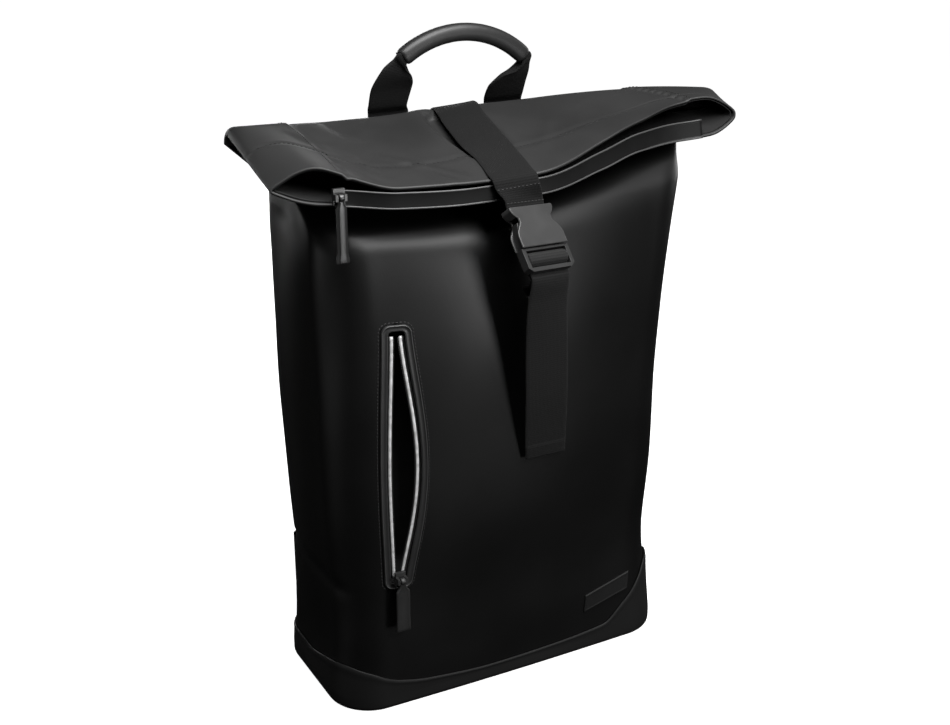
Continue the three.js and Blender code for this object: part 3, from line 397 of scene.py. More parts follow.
# painted shade: the closing strap is the tail's own webbing, painted about three times darker where it lies
# under the lamp above
strap_finish_painted_shade = woven("webbing_strap", 0.0045, 1.25, 0.30)
tail_finish = woven("webbing_tail", 0.013, 1.25, 0.30)
handle_finish = woven("webbing_handle", 0.006, 1.1, 0.26)
back_web_finish = woven("webbing_shoulder", 0.020, 1.2, 0.28)
lining_finish = woven("pocket_lining_cloth", 0.012, 0.7, 0.10, 0.7, 1.0)

# %% [markdown]
# Moulded plastic has a faint spark-eroded grain and a satin shine that is a little smoother where fingers
# rub it. The metal puller is a dark plated casting. The zip's silver edge is a retroreflective film: very
# light, satin, with fine lines across it. The zip bands are coated tape.

# %% Hard and coated trim
def moulded(name, tone, roughness, grain=0.05, metallic=0.0, scale=2200.0, shine=0.5):
    """A plain finish with specks, of a grain's height in millimetres, and faint clouds."""
    finish = Finish(name, Metallic=metallic, Specular_IOR_Level=shine)
    specks = finish.noise(scale, 2.0)
    clouds = finish.noise(60.0, 2.0)
    finish.feed("Base Color", finish.blend(grey(tone * 0.85), grey(tone * 1.15), clouds))
    finish.feed("Roughness", roughness + 0.14 * (clouds - 0.5) + 0.10 * (specks - 0.5))
    finish.relief(specks, 0.5, grain)
    return finish


plastic_finish = moulded("buckle_plastic", 0.035, 0.34)
plug_finish = moulded("buckle_plastic_plug", 0.020, 0.40)
puller_finish = moulded("puller_plastic", 0.018, 0.42)
metal_finish = moulded("gunmetal", 0.06, 0.34, 0.02, 0.7)
band_finish = moulded("zip_band_coating", 0.004, 0.62, 0.06, scale=900.0, shine=0.25)
piping_finish = moulded("zip_band_piping", 0.055, 0.36, 0.03)
welt_finish = moulded("welt_coating", 0.020, 0.42, 0.05, scale=900.0)
tape_finish = woven("zip_tape_cloth", 0.012, 0.6, 0.12, 0.7, 1.0)
patch_finish = moulded("patch_rubber", 0.009, 0.66, 0.10, scale=1200.0, shine=0.3)
thread_finish = moulded("sewing_thread", 0.004, 0.75, 0.05)
light_thread_finish = moulded("sewing_thread_grey", 0.035, 0.70, 0.05)


def reflective():
    """Light film with a fine line every 0.55 mm."""
    finish = Finish("reflective_film", Specular_IOR_Level=0.6, Metallic=0.15)
    u, v, _ = finish.split(finish.cloth())
    lines = (v * (2 * np.pi / (0.55 * MM))).sine()
    clouds = finish.noise(220.0, 2.0)
    finish.feed("Base Color", finish.blend(grey(0.50), grey(0.80), clouds.between(0.25, 0.7)))
    finish.feed("Roughness", 0.34 + 0.06 * lines)
    finish.relief(lines, 0.3, 0.04)
    return finish


silver_finish = reflective()
print("finishes:", len(bpy.data.materials))

# %% [markdown]
# ## Floor and light
# The picture was taken on plain white. The ground is a wide sheet that glows, like a light table, so it
# stays white right up to the bag. Its glow is kept out of the fabric's reflections, because a black bag
# in a white room turns grey: what makes it look black is that the room around it is dim, and that a few
# soft panels show in the coating. One overhead lights the roll and the buckle. One high in front fades
# down the front, and a weak one low in front puts a sheen on it. A very weak one low on the left lifts
# the left side. One behind and one at the right keep the far sides readable when the bag is turned round.

# %% Floor
floor_mesh = raw_mesh("floor", [(-9000, -9000, 0), (9000, -9000, 0), (9000, 9000, 0), (-9000, 9000, 0)],
                      [0, 1, 2, 3], [4])
floor = bpy.data.objects.new("floor", floor_mesh)
scene.collection.objects.link(floor)
floor_finish = Finish("floor_paper", Roughness=0.9, Specular_IOR_Level=0.1, Emission_Strength=1.0)
floor_finish.feed("Base Color", floor_finish.blend(grey(0.90), grey(0.94), floor_finish.noise(3.0)))
floor_finish.shader.inputs["Emission Color"].default_value = grey(1.0)
wear(floor, floor_finish)
floor.visible_glossy = False
floor.visible_diffuse = False


def soft_panel(name, at, aim, size, power, spread):
    """An area light at one point that faces another. spread narrows its beam, in degrees."""
    light = bpy.data.lights.new(name, "AREA")
    light.shape = "RECTANGLE"
    light.size, light.size_y = size
    light.energy = power
    light.spread = np.radians(spread)
    lamp = bpy.data.objects.new(name, light)
    lamp.location = at
    lamp.rotation_euler = (Vector(aim) - Vector(at)).to_track_quat("-Z", "Y").to_euler()
    scene.collection.objects.link(lamp)
    return lamp


# name, place, aim, width and height in metres, power in watts, spread in degrees
PANELS = [
    ("overhead_panel", (0.0, -0.30, 1.15), (0.0, -0.15, 0.4), (0.8, 0.5), 14.5, 180),
    ("front_panel", (0.3, -1.25, 1.5), (0.02, -0.1, 0.42), (0.7, 0.8), 3.5, 75),
    ("sheen_panel", (0.42, -1.5, 0.28), (-0.02, -0.1, 0.36), (0.3, 0.5), 1.0, 70),
    ("left_panel", (-1.8, 0.1, 0.12), (-0.13, 0.0, 0.08), (0.5, 0.3), 0.14, 40),
    ("back_panel", (0.1, 1.7, 0.45), (0.0, 0.1, 0.25), (1.4, 0.7), 16, 180),
    ("right_panel", (1.6, 0.5, 0.6), (0.1, 0.1, 0.25), (0.5, 0.8), 4, 180)]
for panel in PANELS:
    soft_panel(*panel)


def room(white, dim):
    """The world: white where the camera looks past the floor, dim for every other ray."""
    world = bpy.data.worlds.new("studio")
    world.use_nodes = True
    nodes = world.node_tree.nodes
    rays = nodes.new("ShaderNodeLightPath")
    strength = nodes.new("ShaderNodeMapRange")
    strength.inputs["To Min"].default_value = dim
    strength.inputs["To Max"].default_value = white
    world.node_tree.links.new(rays.outputs["Is Camera Ray"], strength.inputs["Value"])
    world.node_tree.links.new(strength.outputs["Result"], nodes["Background"].inputs["Strength"])
    nodes["Background"].inputs["Color"].default_value = (1.0, 1.0, 1.0, 1.0)
    return world


scene.world = room(1.0, 0.008)
scene.view_settings.view_transform = "Standard"
print("lights:", len(bpy.data.lights), "view transform:", scene.view_settings.view_transform)

# %% [markdown]
# ## The tube
# The whole bag is one tube of fabric. At the base it is a rounded rectangle, towards the top it narrows
# to two plies, then it turns over forwards and ends in the mouth. Each section is a front line and a back
# line, and a ring with round corners joins them. A point is found from three numbers: how far up the
# tube, s across from -1 at the left to 1 at the right, and e through from -1 in front to 1 behind.

# %% Sizes of the bag, in millimetres
BODY_WIDTH = 315
BODY_DEPTH = 142
CORNER_RADIUS = 36
FRONT_CROWN = 27
LEAN = 21.5
FOLD_HEIGHT = 472.5
FOLD_THICKNESS = 14
FOLD_OUTER_RADIUS = 22
FLAT_WIDTH = 414
MOUTH_WIDTH = 418
MOUTH_X = 16
FOLD_SWEEP = 72
FOLD_RISE = 6
FOLD_DROP = 1.3
TIP_TAPER = 0.4
SLOT_BACK = BODY_DEPTH / 2 + 1
FABRIC = 1.8

# Each row is a section, and each value a share of the size above that it follows
BODY_COLUMNS = ("back_height", "front_height", "half_width", "front", "back", "crown", "corner", "lean",
                "sweep", "rise")
BODY_ROWS = np.array([
    [0.0255, 0.0255, 1.000, -1.03, 1.00, 0.08, 1.00, 0.00, 0.00, 0.000],
    [0.1190, 0.1190, 0.976, -1.02, 1.00, 0.24, 1.00, -0.04, 0.00, 0.000],
    [0.2230, 0.2230, 0.966, -1.00, 1.00, 0.45, 1.05, -0.12, 0.00, 0.000],
    [0.3600, 0.3600, 0.988, -1.00, 1.00, 0.75, 1.05, -0.11, 0.00, 0.000],
    [0.5100, 0.5100, 1.000, -0.99, 1.00, 0.93, 1.05, -0.12, 0.00, 0.000],
    [0.6600, 0.6600, 1.018, -0.98, 1.00, 1.00, 1.05, -0.01, 0.00, 0.000],
    [0.7600, 0.7600, 1.033, -0.97, 1.00, 0.93, 1.00, 0.08, 0.00, 0.000],
    [0.8400, 0.8350, 1.045, -0.94, 1.00, 0.80, 0.95, 0.18, 0.00, 0.004],
    [0.8850, 0.8700, 1.056, -0.86, 1.00, 0.62, 0.90, 0.32, 0.02, 0.010],
    [0.9130, 0.8960, 1.073, -0.60, 1.00, 0.45, 0.80, 0.50, 0.10, 0.012],
    [0.9270, 0.9150, 1.100, -0.18, 1.00, 0.20, 0.60, 0.72, 0.26, 0.010],
    [0.9380, 0.9310, 1.180, 0.36, 1.01, 0.04, 0.45, 0.85, 0.58, 0.004]])
LAST_ROW = len(BODY_ROWS) - 1

# s, then y and height of the mouth's upper edge, then of its lower edge
MOUTH_ROWS = np.array([
    [-1.00, -0.70, 0.9540, -0.72, 0.9370],
    [-0.85, -0.86, 0.9780, -0.92, 0.9220],
    [-0.76, -1.00, 0.9680, -1.03, 0.9200],
    [-0.60, -1.24, 0.9500, -1.24, 0.9150],
    [-0.33, -1.38, 0.9460, -1.37, 0.9130],
    [-0.06, -1.38, 0.9500, -1.37, 0.9140],
    [0.27, -1.06, 0.9760, -1.08, 0.9280],
    [0.51, -0.78, 0.9910, -0.80, 0.9400],
    [0.75, -0.52, 1.0060, -0.62, 0.9420],
    [0.88, -0.56, 1.0120, -0.66, 0.9460],
    [1.00, -0.68, 1.0000, -0.70, 0.9620]])


# %% Sections of the tube
def sweep_shape(s):
    """How far the right end is swept forwards: the square of the share past 0.35."""
    return np.clip((s - 0.35) / 0.65, 0, None) ** 2


def body_value(t, name):
    """One column of the body's table at row number t."""
    column = BODY_ROWS[:, BODY_COLUMNS.index(name)]
    return curve_through(np.arange(LAST_ROW + 1), column, np.clip(t, 0, LAST_ROW))


def half_depth_at(t):
    """Half of the body's depth at row number t, with half of its crown."""
    return ((body_value(t, "back") - body_value(t, "front")) * BODY_DEPTH / 4
            + body_value(t, "crown") * FRONT_CROWN / 2)


def fold_lines(angle, s, drop=0.0):
    """The inner and outer line of the fold at an angle round its middle: circles whose radius tapers
    towards the tips with the fourth power of s."""
    taper = 1 - TIP_TAPER * np.abs(s) ** 4
    outer = FOLD_OUTER_RADIUS * taper

    def line(inwards):
        radius = outer - inwards * FOLD_THICKNESS * taper
        rise = FOLD_RISE * smooth(0, 1, s) - FOLD_DROP * smooth(0, 0.6, -s)
        return xyz(LEAN + s * FLAT_WIDTH / 2,
                   SLOT_BACK - outer - FOLD_SWEEP * sweep_shape(s) + radius * np.cos(angle),
                   FOLD_HEIGHT + rise - outer - drop + radius * np.sin(angle))
    return line(1.0), line(0.0)


def body_lines(t, s):
    """The front and back line at row number t. Past the last row they run straight to the fold."""
    half = body_value(t, "half_width") * BODY_WIDTH / 2
    x = body_value(t, "lean") * LEAN + s * half
    lift = body_value(t, "rise") * FOLD_HEIGHT * s
    forwards = body_value(t, "sweep") * FOLD_SWEEP * sweep_shape(s)
    crown = body_value(t, "crown") * FRONT_CROWN * np.clip(1 - s * s, 0, None) ** 1.5
    front = xyz(x, body_value(t, "front") * BODY_DEPTH / 2 - forwards - crown,
                body_value(t, "front_height") * FOLD_HEIGHT + lift)
    back = xyz(x, body_value(t, "back") * BODY_DEPTH / 2 - forwards,
               body_value(t, "back_height") * FOLD_HEIGHT + lift)
    fold_front, fold_back = fold_lines(0.0, s)
    share = np.clip(t - LAST_ROW, 0, 1)[..., None]
    return mix(front, fold_front, share), mix(back, fold_back, share)


def corner_shares(corner, half_width, half_depth):
    """The shares of the half width and half depth that the round corners take."""
    return corner / half_width, np.minimum(corner, 0.88 * half_depth) / half_depth


def ring(corner_s, corner_e, counts, start=None, stop=None):
    """Points (s, e) round a rounded rectangle for each row of corner shares: the front, a corner, the
    right side, a corner, the back, a corner, the left side and a corner. With start and stop it begins
    and ends on the front, at those shares across, and its last run is a quarter of a cosine in s."""
    cs, ce = (np.asarray(v, float).reshape(-1, 1) for v in (corner_s, corner_e))
    fs, fe = 1 - cs, 1 - ce
    front, corner, side, back, front_left = counts

    def line(a, b, count):
        share = np.arange(count) / count
        return [mix(p, q, share) for p, q in zip(a, b)]

    def arc(middle, first):
        angle = first + np.arange(corner) / corner * np.pi / 2
        return [middle[0] + cs * np.cos(angle), middle[1] + ce * np.sin(angle)]
    low, high = -np.ones_like(cs), np.ones_like(cs)
    first = -fs if start is None else np.asarray(start, float).reshape(-1, 1)
    parts = [line((first, low), (fs, low), front), arc((fs, -fe), -np.pi / 2),
             line((high, -fe), (high, fe), side), arc((fs, fe), 0),
             line((fs, high), (-fs, high), back), arc((-fs, fe), np.pi / 2),
             line((low, fe), (low, -fe), side), arc((-fs, -fe), np.pi)]
    if stop is not None:
        last = np.asarray(stop, float).reshape(-1, 1)
        run = -1 + (last + 1) * (1 - np.cos(np.linspace(0, np.pi / 2, front_left)))
        over = np.clip((np.abs(run) - 1 + cs) / cs, 0, 1)
        parts[-1] = [run, ce - 1 - ce * np.sqrt(1 - over * over)]
    return [np.concatenate([part[k] for part in parts], axis=1) for k in (0, 1)]


def through(lines, e):
    """The point e through between a front and a back line."""
    front, back = lines
    return (front + back) / 2 + (back - front) / 2 * e[..., None]


body_heights = body_value(np.linspace(0, LAST_ROW, 400), "front_height") * FOLD_HEIGHT


def row_at(z):
    """The row number at a height on the front."""
    return np.interp(z, body_heights, np.linspace(0, LAST_ROW, 400))


def front_dent(x, z):
    """Soft waves of the front, in millimetres outwards. Four long waves of less than a millimetre."""
    wave = (0.55 * np.sin(x / 31 + 0.4 * np.sin(z / 70)) + 0.45 * np.sin(x / 19 - z / 120 + 1.1)
            + 0.35 * np.sin(z / 41 + x / 90) + 0.25 * np.sin(z / 23 - x / 37))
    calm = smooth(10, 60, z) * smooth(440, 380, z) * smooth(150, 120, np.abs(x))
    near_slit = 1 - hump(x, -110, 26)
    return wave * calm * near_slit


def front_skin(x, z):
    """The front's y at x and z, with its round corners and soft waves."""
    x, z = np.broadcast_arrays(np.asarray(x, float), np.asarray(z, float))
    t = row_at(z)
    half = body_value(t, "half_width") * BODY_WIDTH / 2
    s = np.clip((x - body_value(t, "lean") * LEAN) / half, -1, 1)
    depth = half_depth_at(t)
    cs, ce = corner_shares(body_value(t, "corner") * CORNER_RADIUS, half, depth)
    over = np.clip((np.abs(s) - 1 + cs) / cs, 0, 1)
    e = ce - 1 - ce * np.sqrt(1 - over * over)
    return through(body_lines(t, s), e)[..., 1] - front_dent(x, z)


print("front at the middle:", front_skin([0.0], [240.0]).round(1), "mm")

# %% [markdown]
# ## The front pocket's zip line
# The pocket opens along an upright zip that gapes: its right edge bows out further than its left. Both
# edges are one formula, a power of a sine between the two ends. The body's fabric is cut along the same
# line, so the grid of the body starts at the right edge of the cut, runs once round the bag, and ends at
# the left edge. Above and below the cut the first and last column are one and the same.

# %% Zip line
SLIT_X = -110
SLIT_LOW = 124
SLIT_HIGH = 332
SLIT_LEAN = 1
SLIT_BOW = {1: 12, -1: 3}
SLIT_END_HALF = 2
CUT_BACK = 6.3


def teeth_line(side, z):
    """x of one row of teeth: the middle, and a sine to the power 1.4 out from it."""
    share = np.clip((z - SLIT_LOW) / (SLIT_HIGH - SLIT_LOW), 0, 1)
    bow = SLIT_BOW[side] * np.sin(np.pi * share**0.9) ** 1.4
    return SLIT_X - SLIT_LEAN * (1 - share) + side * (SLIT_END_HALF + bow)


def cut_line(side, z):
    """The edge of the body's fabric, set back from the teeth. It closes to the middle at both ends."""
    inner = np.interp(z, [SLIT_LOW - CUT_BACK, SLIT_HIGH + CUT_BACK], [SLIT_LOW, SLIT_HIGH])
    middle = (teeth_line(1, inner) + teeth_line(-1, inner)) / 2
    beyond = np.maximum(SLIT_LOW - z, z - SLIT_HIGH)
    shut = np.clip(1 - np.maximum(beyond, 0) / CUT_BACK, 0, 1)
    return middle + (teeth_line(side, inner) + side * CUT_BACK - middle) * np.sqrt(shut)


# %% [markdown]
# ## Body
# A bag's body could be five flat plates, but real fabric bulges in front, rounds its corners and flares
# where it is pressed flat for the roll. So it is one lofted surface of 126 rows. Dents and folds are
# added along the surface's own normals: soft folds in the two gussets under the roll, slow waves in the
# sides, and a groove low on the left, where the side slumps.

# %% Body surface
# points along the front, a corner, a side, the back, and the front left of the cut
BODY_COUNTS = (86, 12, 14, 74, 22)
# from, to, height and width in millimetres: three on the left and one on the right
GUSSET_FOLDS = [((-184, -52, 440), (-154, -78, 402), 4.0, 4.5), ((-158, 44, 415), (-141, -31, 412), 2.0, 6.0),
                ((-157, 5, 412), (-143, -60, 388), 2.4, 6.0), ((190, -20, 436), (166, -38, 388), 2.5, 7.0)]


def grid_normals(points):
    """Unit normals of a grid from its neighbours' differences, pointing out of an outward ring."""
    return unit(np.cross(np.gradient(points, axis=1), np.gradient(points, axis=0)))


def segment_distance(points, a, b):
    """Distance from points to a segment, and the share along it."""
    a, b = np.asarray(a, float), np.asarray(b, float)
    share = np.clip(((points - a) @ (b - a)) / ((b - a) @ (b - a)), 0, 1)
    return np.linalg.norm(points - a - share[..., None] * (b - a), axis=-1), share


def crease(points, a, b, height, width):
    """A ridge or groove along a segment, highest at its middle and with a softer hollow beside it."""
    distance, share = segment_distance(points, a, b)
    fade = np.sin(np.pi * np.clip(share, 0.02, 0.98)) ** 0.6
    return height * fade * (hump(distance, 0, width) - 0.45 * hump(distance, 0, 2.6 * width))


body_t = np.concatenate([np.linspace(0, 7, 84), np.linspace(7, LAST_ROW, 40)[1:],
                         LAST_ROW + np.array([0.35, 0.7, 1])])
half_width = body_value(body_t, "half_width") * BODY_WIDTH / 2
half_depth = half_depth_at(body_t)
blend_up = np.clip(body_t - LAST_ROW, 0, 1)
body_half_depth = mix(half_depth, FOLD_THICKNESS / 2, blend_up)
body_half_width = mix(half_width, FLAT_WIDTH / 2, blend_up)
body_corner = mix(body_value(body_t, "corner") * CORNER_RADIUS, FOLD_THICKNESS / 2, blend_up)
row_z = body_value(body_t, "front_height") * FOLD_HEIGHT
lean = body_value(body_t, "lean") * LEAN
edges = [(cut_line(side, row_z) - lean) / half_width for side in (1, -1)]
body_s, body_e = ring(*corner_shares(body_corner, body_half_width, body_half_depth), BODY_COUNTS,
                      start=edges[0], stop=edges[1])
body_points = through(body_lines(body_t[:, None], body_s), body_e)
front_share = smooth(-0.55, -0.95, body_e)
body_points[..., 1] -= front_dent(body_points[..., 0], body_points[..., 2]) * front_share

_, y, z = np.moveaxis(body_points, -1, 0)
relief = sum(crease(body_points, *fold) for fold in GUSSET_FOLDS)
side_face = smooth(0.86, 0.99, np.abs(body_s)) * smooth(30, 90, z) * smooth(440, 360, z)
relief += side_face * (1.6 * np.sin(y / 17 + z / 150) + 1.0 * np.sin(z / 48 + y / 26))
relief -= 2.2 * hump(z, 116 + 0.10 * y, 5) * smooth(-0.9, -1.0, body_s) * smooth(-80, -30, y)
body_points += grid_normals(body_points) * relief[..., None]

columns = body_points.shape[1]
sewn = np.arange(body_points.shape[0] * columns)
closed_rows = np.nonzero(np.abs(edges[0] - edges[1]) * half_width < 0.05)[0]
sewn[closed_rows * columns + columns - 1] = closed_rows * columns
body_points[closed_rows, -1] = body_points[closed_rows, 0]
body_cloth = grid_piece("body_cloth", body_points, same=sewn)
thicken(body_cloth, FABRIC)
wear(stand_for(body_cloth, "body_shell", slot="body_fabric"), body_finish)

# %% [markdown]
# ## Roll
# Above the body the same tube bends over forwards through 99 degrees and runs to the mouth. Its top ply
# is what the light falls on, so it gets the most relief: a row of stitches that pulls a shallow groove
# half way down, a facing sewn over each end, soft creases in the left half, and the deep valley that the
# tight strap pulls into the fabric on its left.

# %% Roll surface
FOLD_TURN = np.radians(99)
ROLL_COUNTS = (96, 8, 4, 120, 0)
MOUTH_CORNER = 20

# On the roll s runs across it, and q along it: 0 at the slot, 1 after the bend and 2 at the mouth.
# s, then the q of the row of stitches
STITCH_LINE = np.array([
    [-0.98, 1.45], [-0.89, 1.42], [-0.77, 1.53], [-0.70, 1.60], [-0.59, 1.69], [-0.51, 1.71],
    [-0.32, 1.695], [0.0, 1.65], [0.21, 1.665], [0.62, 1.70], [0.76, 1.70], [0.98, 1.72]])
# q, then the s of each end facing's seam
LEFT_SEAM = np.array([[0.55, -0.790], [0.75, -0.772], [1.26, -0.748], [1.56, -0.745], [2.0, -0.758]])
RIGHT_SEAM = np.array([[0.55, 0.690], [0.80, 0.712], [1.20, 0.755], [1.54, 0.782], [2.0, 0.800]])
# q, then the s of the valley's left edge and its depth in millimetres
VALLEY = np.array([[0.5, -0.10, 0.0], [0.8, -0.18, 5.5], [1.05, -0.24, 10.0], [1.3, -0.255, 11.5],
                   [1.5, -0.255, 12.0], [1.7, -0.24, 10.5], [1.85, -0.23, 6.5], [2.0, -0.24, 0.5]])
# q, then the s of the strap's middle
STRAP_MIDDLE = np.array([[0.5, -0.02], [1.0, -0.045], [1.4, -0.06], [1.7, -0.115], [2.0, -0.15]])
# from (s, q), to (s, q), height in millimetres, width in s
CREASES = [((-0.73, 1.60), (-0.60, 1.93), 2.0, 0.016), ((-0.55, 1.55), (-0.33, 1.93), 2.3, 0.016),
           ((-0.66, 1.50), (-0.62, 1.80), 1.4, 0.020), ((-0.46, 1.72), (-0.40, 1.97), 1.7, 0.018),
           ((-0.80, 1.10), (-0.72, 1.45), 1.2, 0.020), ((0.30, 1.30), (0.05, 1.75), 0.9, 0.030),
           ((-0.62, 0.85), (-0.56, 1.25), -3.8, 0.055), ((0.50, 1.20), (0.30, 1.62), 0.9, 0.03)]


def mouth_lines(s):
    """The lower and upper edge of the mouth."""
    value = [curve_through(MOUTH_ROWS[:, 0], MOUTH_ROWS[:, k], s) for k in range(1, 5)]
    x = MOUTH_X + s * MOUTH_WIDTH / 2
    return (xyz(x, value[2] * BODY_DEPTH / 2, value[3] * FOLD_HEIGHT),
            xyz(x, value[0] * BODY_DEPTH / 2, value[1] * FOLD_HEIGHT))


def roll_lines(q, s):
    """The lower and upper ply at q along the roll: round the bend, then straight to the mouth."""
    lower, upper = fold_lines(FOLD_TURN * np.clip(q, 0, 1), s)
    share = np.clip(q - 1, 0, 1)[..., None]
    mouth_lower, mouth_upper = mouth_lines(s)
    return mix(lower, mouth_lower, share), mix(upper, mouth_upper, share)


def roll_relief(q, s):
    """The top ply's relief in millimetres, as a sum of seams, creases, the valley and soft waves."""
    height = (0.8 * np.sin(7 * s + 2.0 * q) * smooth(0.4, 1.0, q)
              + 0.5 * np.sin(15 * s - 3 * q + 1) * smooth(0.7, 1.3, q))
    stitch_q = curve_through(STITCH_LINE[:, 0], STITCH_LINE[:, 1], s)
    height = height - 0.75 * hump(q, stitch_q, 0.022) + 0.3 * hump(q, stitch_q, 0.07)
    left = curve_through(LEFT_SEAM[:, 0], LEFT_SEAM[:, 1], q)
    right = curve_through(RIGHT_SEAM[:, 0], RIGHT_SEAM[:, 1], q)
    facing = smooth(0.003, -0.003, s - left) + smooth(-0.003, 0.003, s - right)
    groove = hump(s, left + 0.006, 0.005) + hump(s, right - 0.006, 0.005)
    height = height + 1.4 * facing * smooth(0.2, 0.6, q) - 1.4 * groove
    edge = np.interp(q, VALLEY[:, 0], VALLEY[:, 1])
    depth = np.interp(q, VALLEY[:, 0], VALLEY[:, 2])
    middle = np.interp(q, STRAP_MIDDLE[:, 0], STRAP_MIDDLE[:, 1])
    drop = smooth(0, 0.045, s - edge) * smooth(0.075, 0.0, s - middle)
    height = height - depth * drop + 0.16 * depth * hump(s, edge - 0.03, 0.05)
    for (s0, q0), (s1, q1), tall, wide in CREASES:
        run = np.array([s1 - s0, (q1 - q0) * 0.5])
        share = np.clip(((s - s0) * run[0] + (q - q0) * 0.5 * run[1]) / (run @ run), 0, 1)
        gap = np.hypot(s - s0 - share * run[0], (q - q0) * 0.5 - share * run[1])
        fade = np.sin(np.pi * np.clip(share, 0.03, 0.97)) ** 0.7
        height = height + tall * fade * (hump(gap, 0, wide) - 0.5 * hump(gap, 0, 2.5 * wide))
    return height


def roll_point(q, s, e):
    """A point of the roll with its relief, which fades from the top ply to the lower one."""
    lower, upper = roll_lines(q, s)
    point = through((lower, upper), e)
    out = unit(upper - lower)
    return point + out * (roll_relief(q, s) * smooth(0.0, 1.0, e))[..., None]


roll_q = np.concatenate([np.linspace(0, 1, 30)[:-1], np.linspace(1, 2, 58)])
share = np.clip(roll_q - 1, 0, 1)
mouth_middle = mouth_lines(np.zeros(1))
mouth_half_depth = np.linalg.norm(mouth_middle[1] - mouth_middle[0]) / 2
roll_depth = mix(FOLD_THICKNESS / 2, mouth_half_depth, share)
roll_width = mix(FLAT_WIDTH / 2, MOUTH_WIDTH / 2, share)
roll_corner = mix(FOLD_THICKNESS / 2, MOUTH_CORNER, share)
roll_s, roll_e = ring(*corner_shares(roll_corner, roll_width, roll_depth), ROLL_COUNTS)
roll_points = roll_point(np.broadcast_to(roll_q[:, None], roll_s.shape), roll_s, roll_e)
roll_cloth = grid_piece("roll_cloth", roll_points, wrap_columns=True)
thicken(roll_cloth, FABRIC)
wear(stand_for(roll_cloth, "roll_flap", slot="body_fabric"), roll_finish_painted_light)

# %% [markdown]
# Between the zip and the upper ply one looks into the mouth, which shows dark. So the last third of the roll
# gets a thin inner layer of a duller, darker cloth: the roll's own rows, narrowed a little and
# drawn towards the middle between its two plies by a little more than the fabric's wall.

# %% Mouth lining
LINING_FROM = 1.35
LINING_NARROW = 0.982
LINING_WALL = 0.5
LINING_GAP = 0.7

mouth_rows = roll_q > LINING_FROM
lining_s, lining_e = roll_s[mouth_rows][:-1] * LINING_NARROW, roll_e[mouth_rows][:-1]
lining_q = np.broadcast_to(roll_q[mouth_rows][:-1, None], lining_s.shape)
lining_lower, lining_upper = roll_lines(lining_q, lining_s)
room_inside = 1 - (FABRIC + LINING_GAP) * 2 / np.linalg.norm(lining_upper - lining_lower, axis=-1)
lining_lift = roll_relief(lining_q, lining_s) * smooth(0.0, 1.0, lining_e)
lining_points = (through((lining_lower, lining_upper), lining_e * room_inside)
                 + unit(lining_upper - lining_lower) * lining_lift[..., None])
mouth_lining = grid_piece("mouth_lining", lining_points, wrap_columns=True)
thicken(mouth_lining, LINING_WALL)
wear(stand_for(mouth_lining, slot="lining"), lining_finish)

# %% [markdown]
# ## Base
# The base is a shallow tray of tougher fabric that the body stands in. Its upper edge is a seam that dips
# in front and climbs round the corners. The tray is a profile carried round the body's own ring: under
# the floor, round the lower edge, up the outside, over a turned hem and down the inside.

# %% Base tray
SEAM_FRONT = 16
BASE_FIT = 0.5
BASE_WALL = 1.3
BASE_FLOOR = 2.4
BASE_EDGE = 5
BASE_HEM = 0.9
BASE_COUNTS = (110, 16, 20, 90, 0)

# angle round the base from the middle of the front, in degrees, and the seam's height in SEAM_FRONTs
SEAM_ROWS = np.array([
    [-180, 1.80], [-118, 1.80], [-96, 1.75], [-75, 2.12], [-52, 2.62], [-42, 2.32], [-35, 1.62], [-28, 1.28],
    [-8, 1.00], [14, 1.08], [30, 1.32], [36, 2.40], [41, 3.60], [46, 4.35], [54, 4.50], [75, 2.90],
    [97, 1.90], [180, 1.80]])


def seam_height(s, e):
    """The seam's height: low in front, higher at the sides, highest round the corners."""
    angle = np.degrees(np.arctan2(s, -e))
    return SEAM_FRONT * curve_through(SEAM_ROWS[:, 0], SEAM_ROWS[:, 1], angle)


low_z = BODY_ROWS[0, 1] * FOLD_HEIGHT
base_s, base_e = ring(*corner_shares(body_corner[:1], body_half_width[:1], body_half_depth[:1]), BASE_COUNTS)
seam_z = seam_height(base_s, base_e)


def tray_ring(z, outwards):
    """The body's skin at heights z round the ring, moved outwards level with the floor."""
    skin = through(body_lines(row_at(np.maximum(z, low_z)), base_s), base_e)[0]
    along = np.roll(skin, -1, axis=0) - np.roll(skin, 1, axis=0)
    out = unit(xyz(along[:, 1], -along[:, 0], 0 * along[:, 0]))
    moved = skin + out * outwards
    moved[:, 2] = np.ravel(z)
    return moved


tray_rows = []
outside = BASE_FIT + BASE_WALL
for angle in np.linspace(0.0, np.pi / 2, 8):
    rise = BASE_EDGE * (1 - np.cos(angle))
    tray_rows.append(tray_ring(0 * seam_z + rise, outside - BASE_EDGE * (1 - np.sin(angle))))
for share in np.linspace(0.06, 1, 16):
    bead = 0.35 * hump(share, 0.93, 0.06)
    tray_rows.append(tray_ring(mix(BASE_EDGE, seam_z - BASE_HEM, share), outside + bead))
for angle in np.linspace(0.25, 0.75, 4) * np.pi:
    over = BASE_FIT + BASE_WALL / 2 + BASE_WALL / 2 * np.cos(angle)
    tray_rows.append(tray_ring(seam_z - BASE_HEM + BASE_HEM * np.sin(angle), over))
for share in np.linspace(1, 0, 8):
    tray_rows.append(tray_ring(mix(BASE_FLOOR, seam_z - BASE_HEM, share), BASE_FIT - 1.2 * (1 - share) ** 4))
base_cloth = grid_piece("base_cloth", np.stack(tray_rows), wrap_columns=True, caps=True)
wear(stand_for(base_cloth, "base_boot", slot="base_fabric"), base_finish)

# %% [markdown]
# ## Carried profiles
# Straps, piping, bands and the grip are all one idea: a closed outline carried along a path. At each
# station the outline is scaled by a width and a thickness, and set up by two directions, one across the
# strap and one through it. The path is first made smooth and even by reading it with the same cubic
# pieces, against its running length.

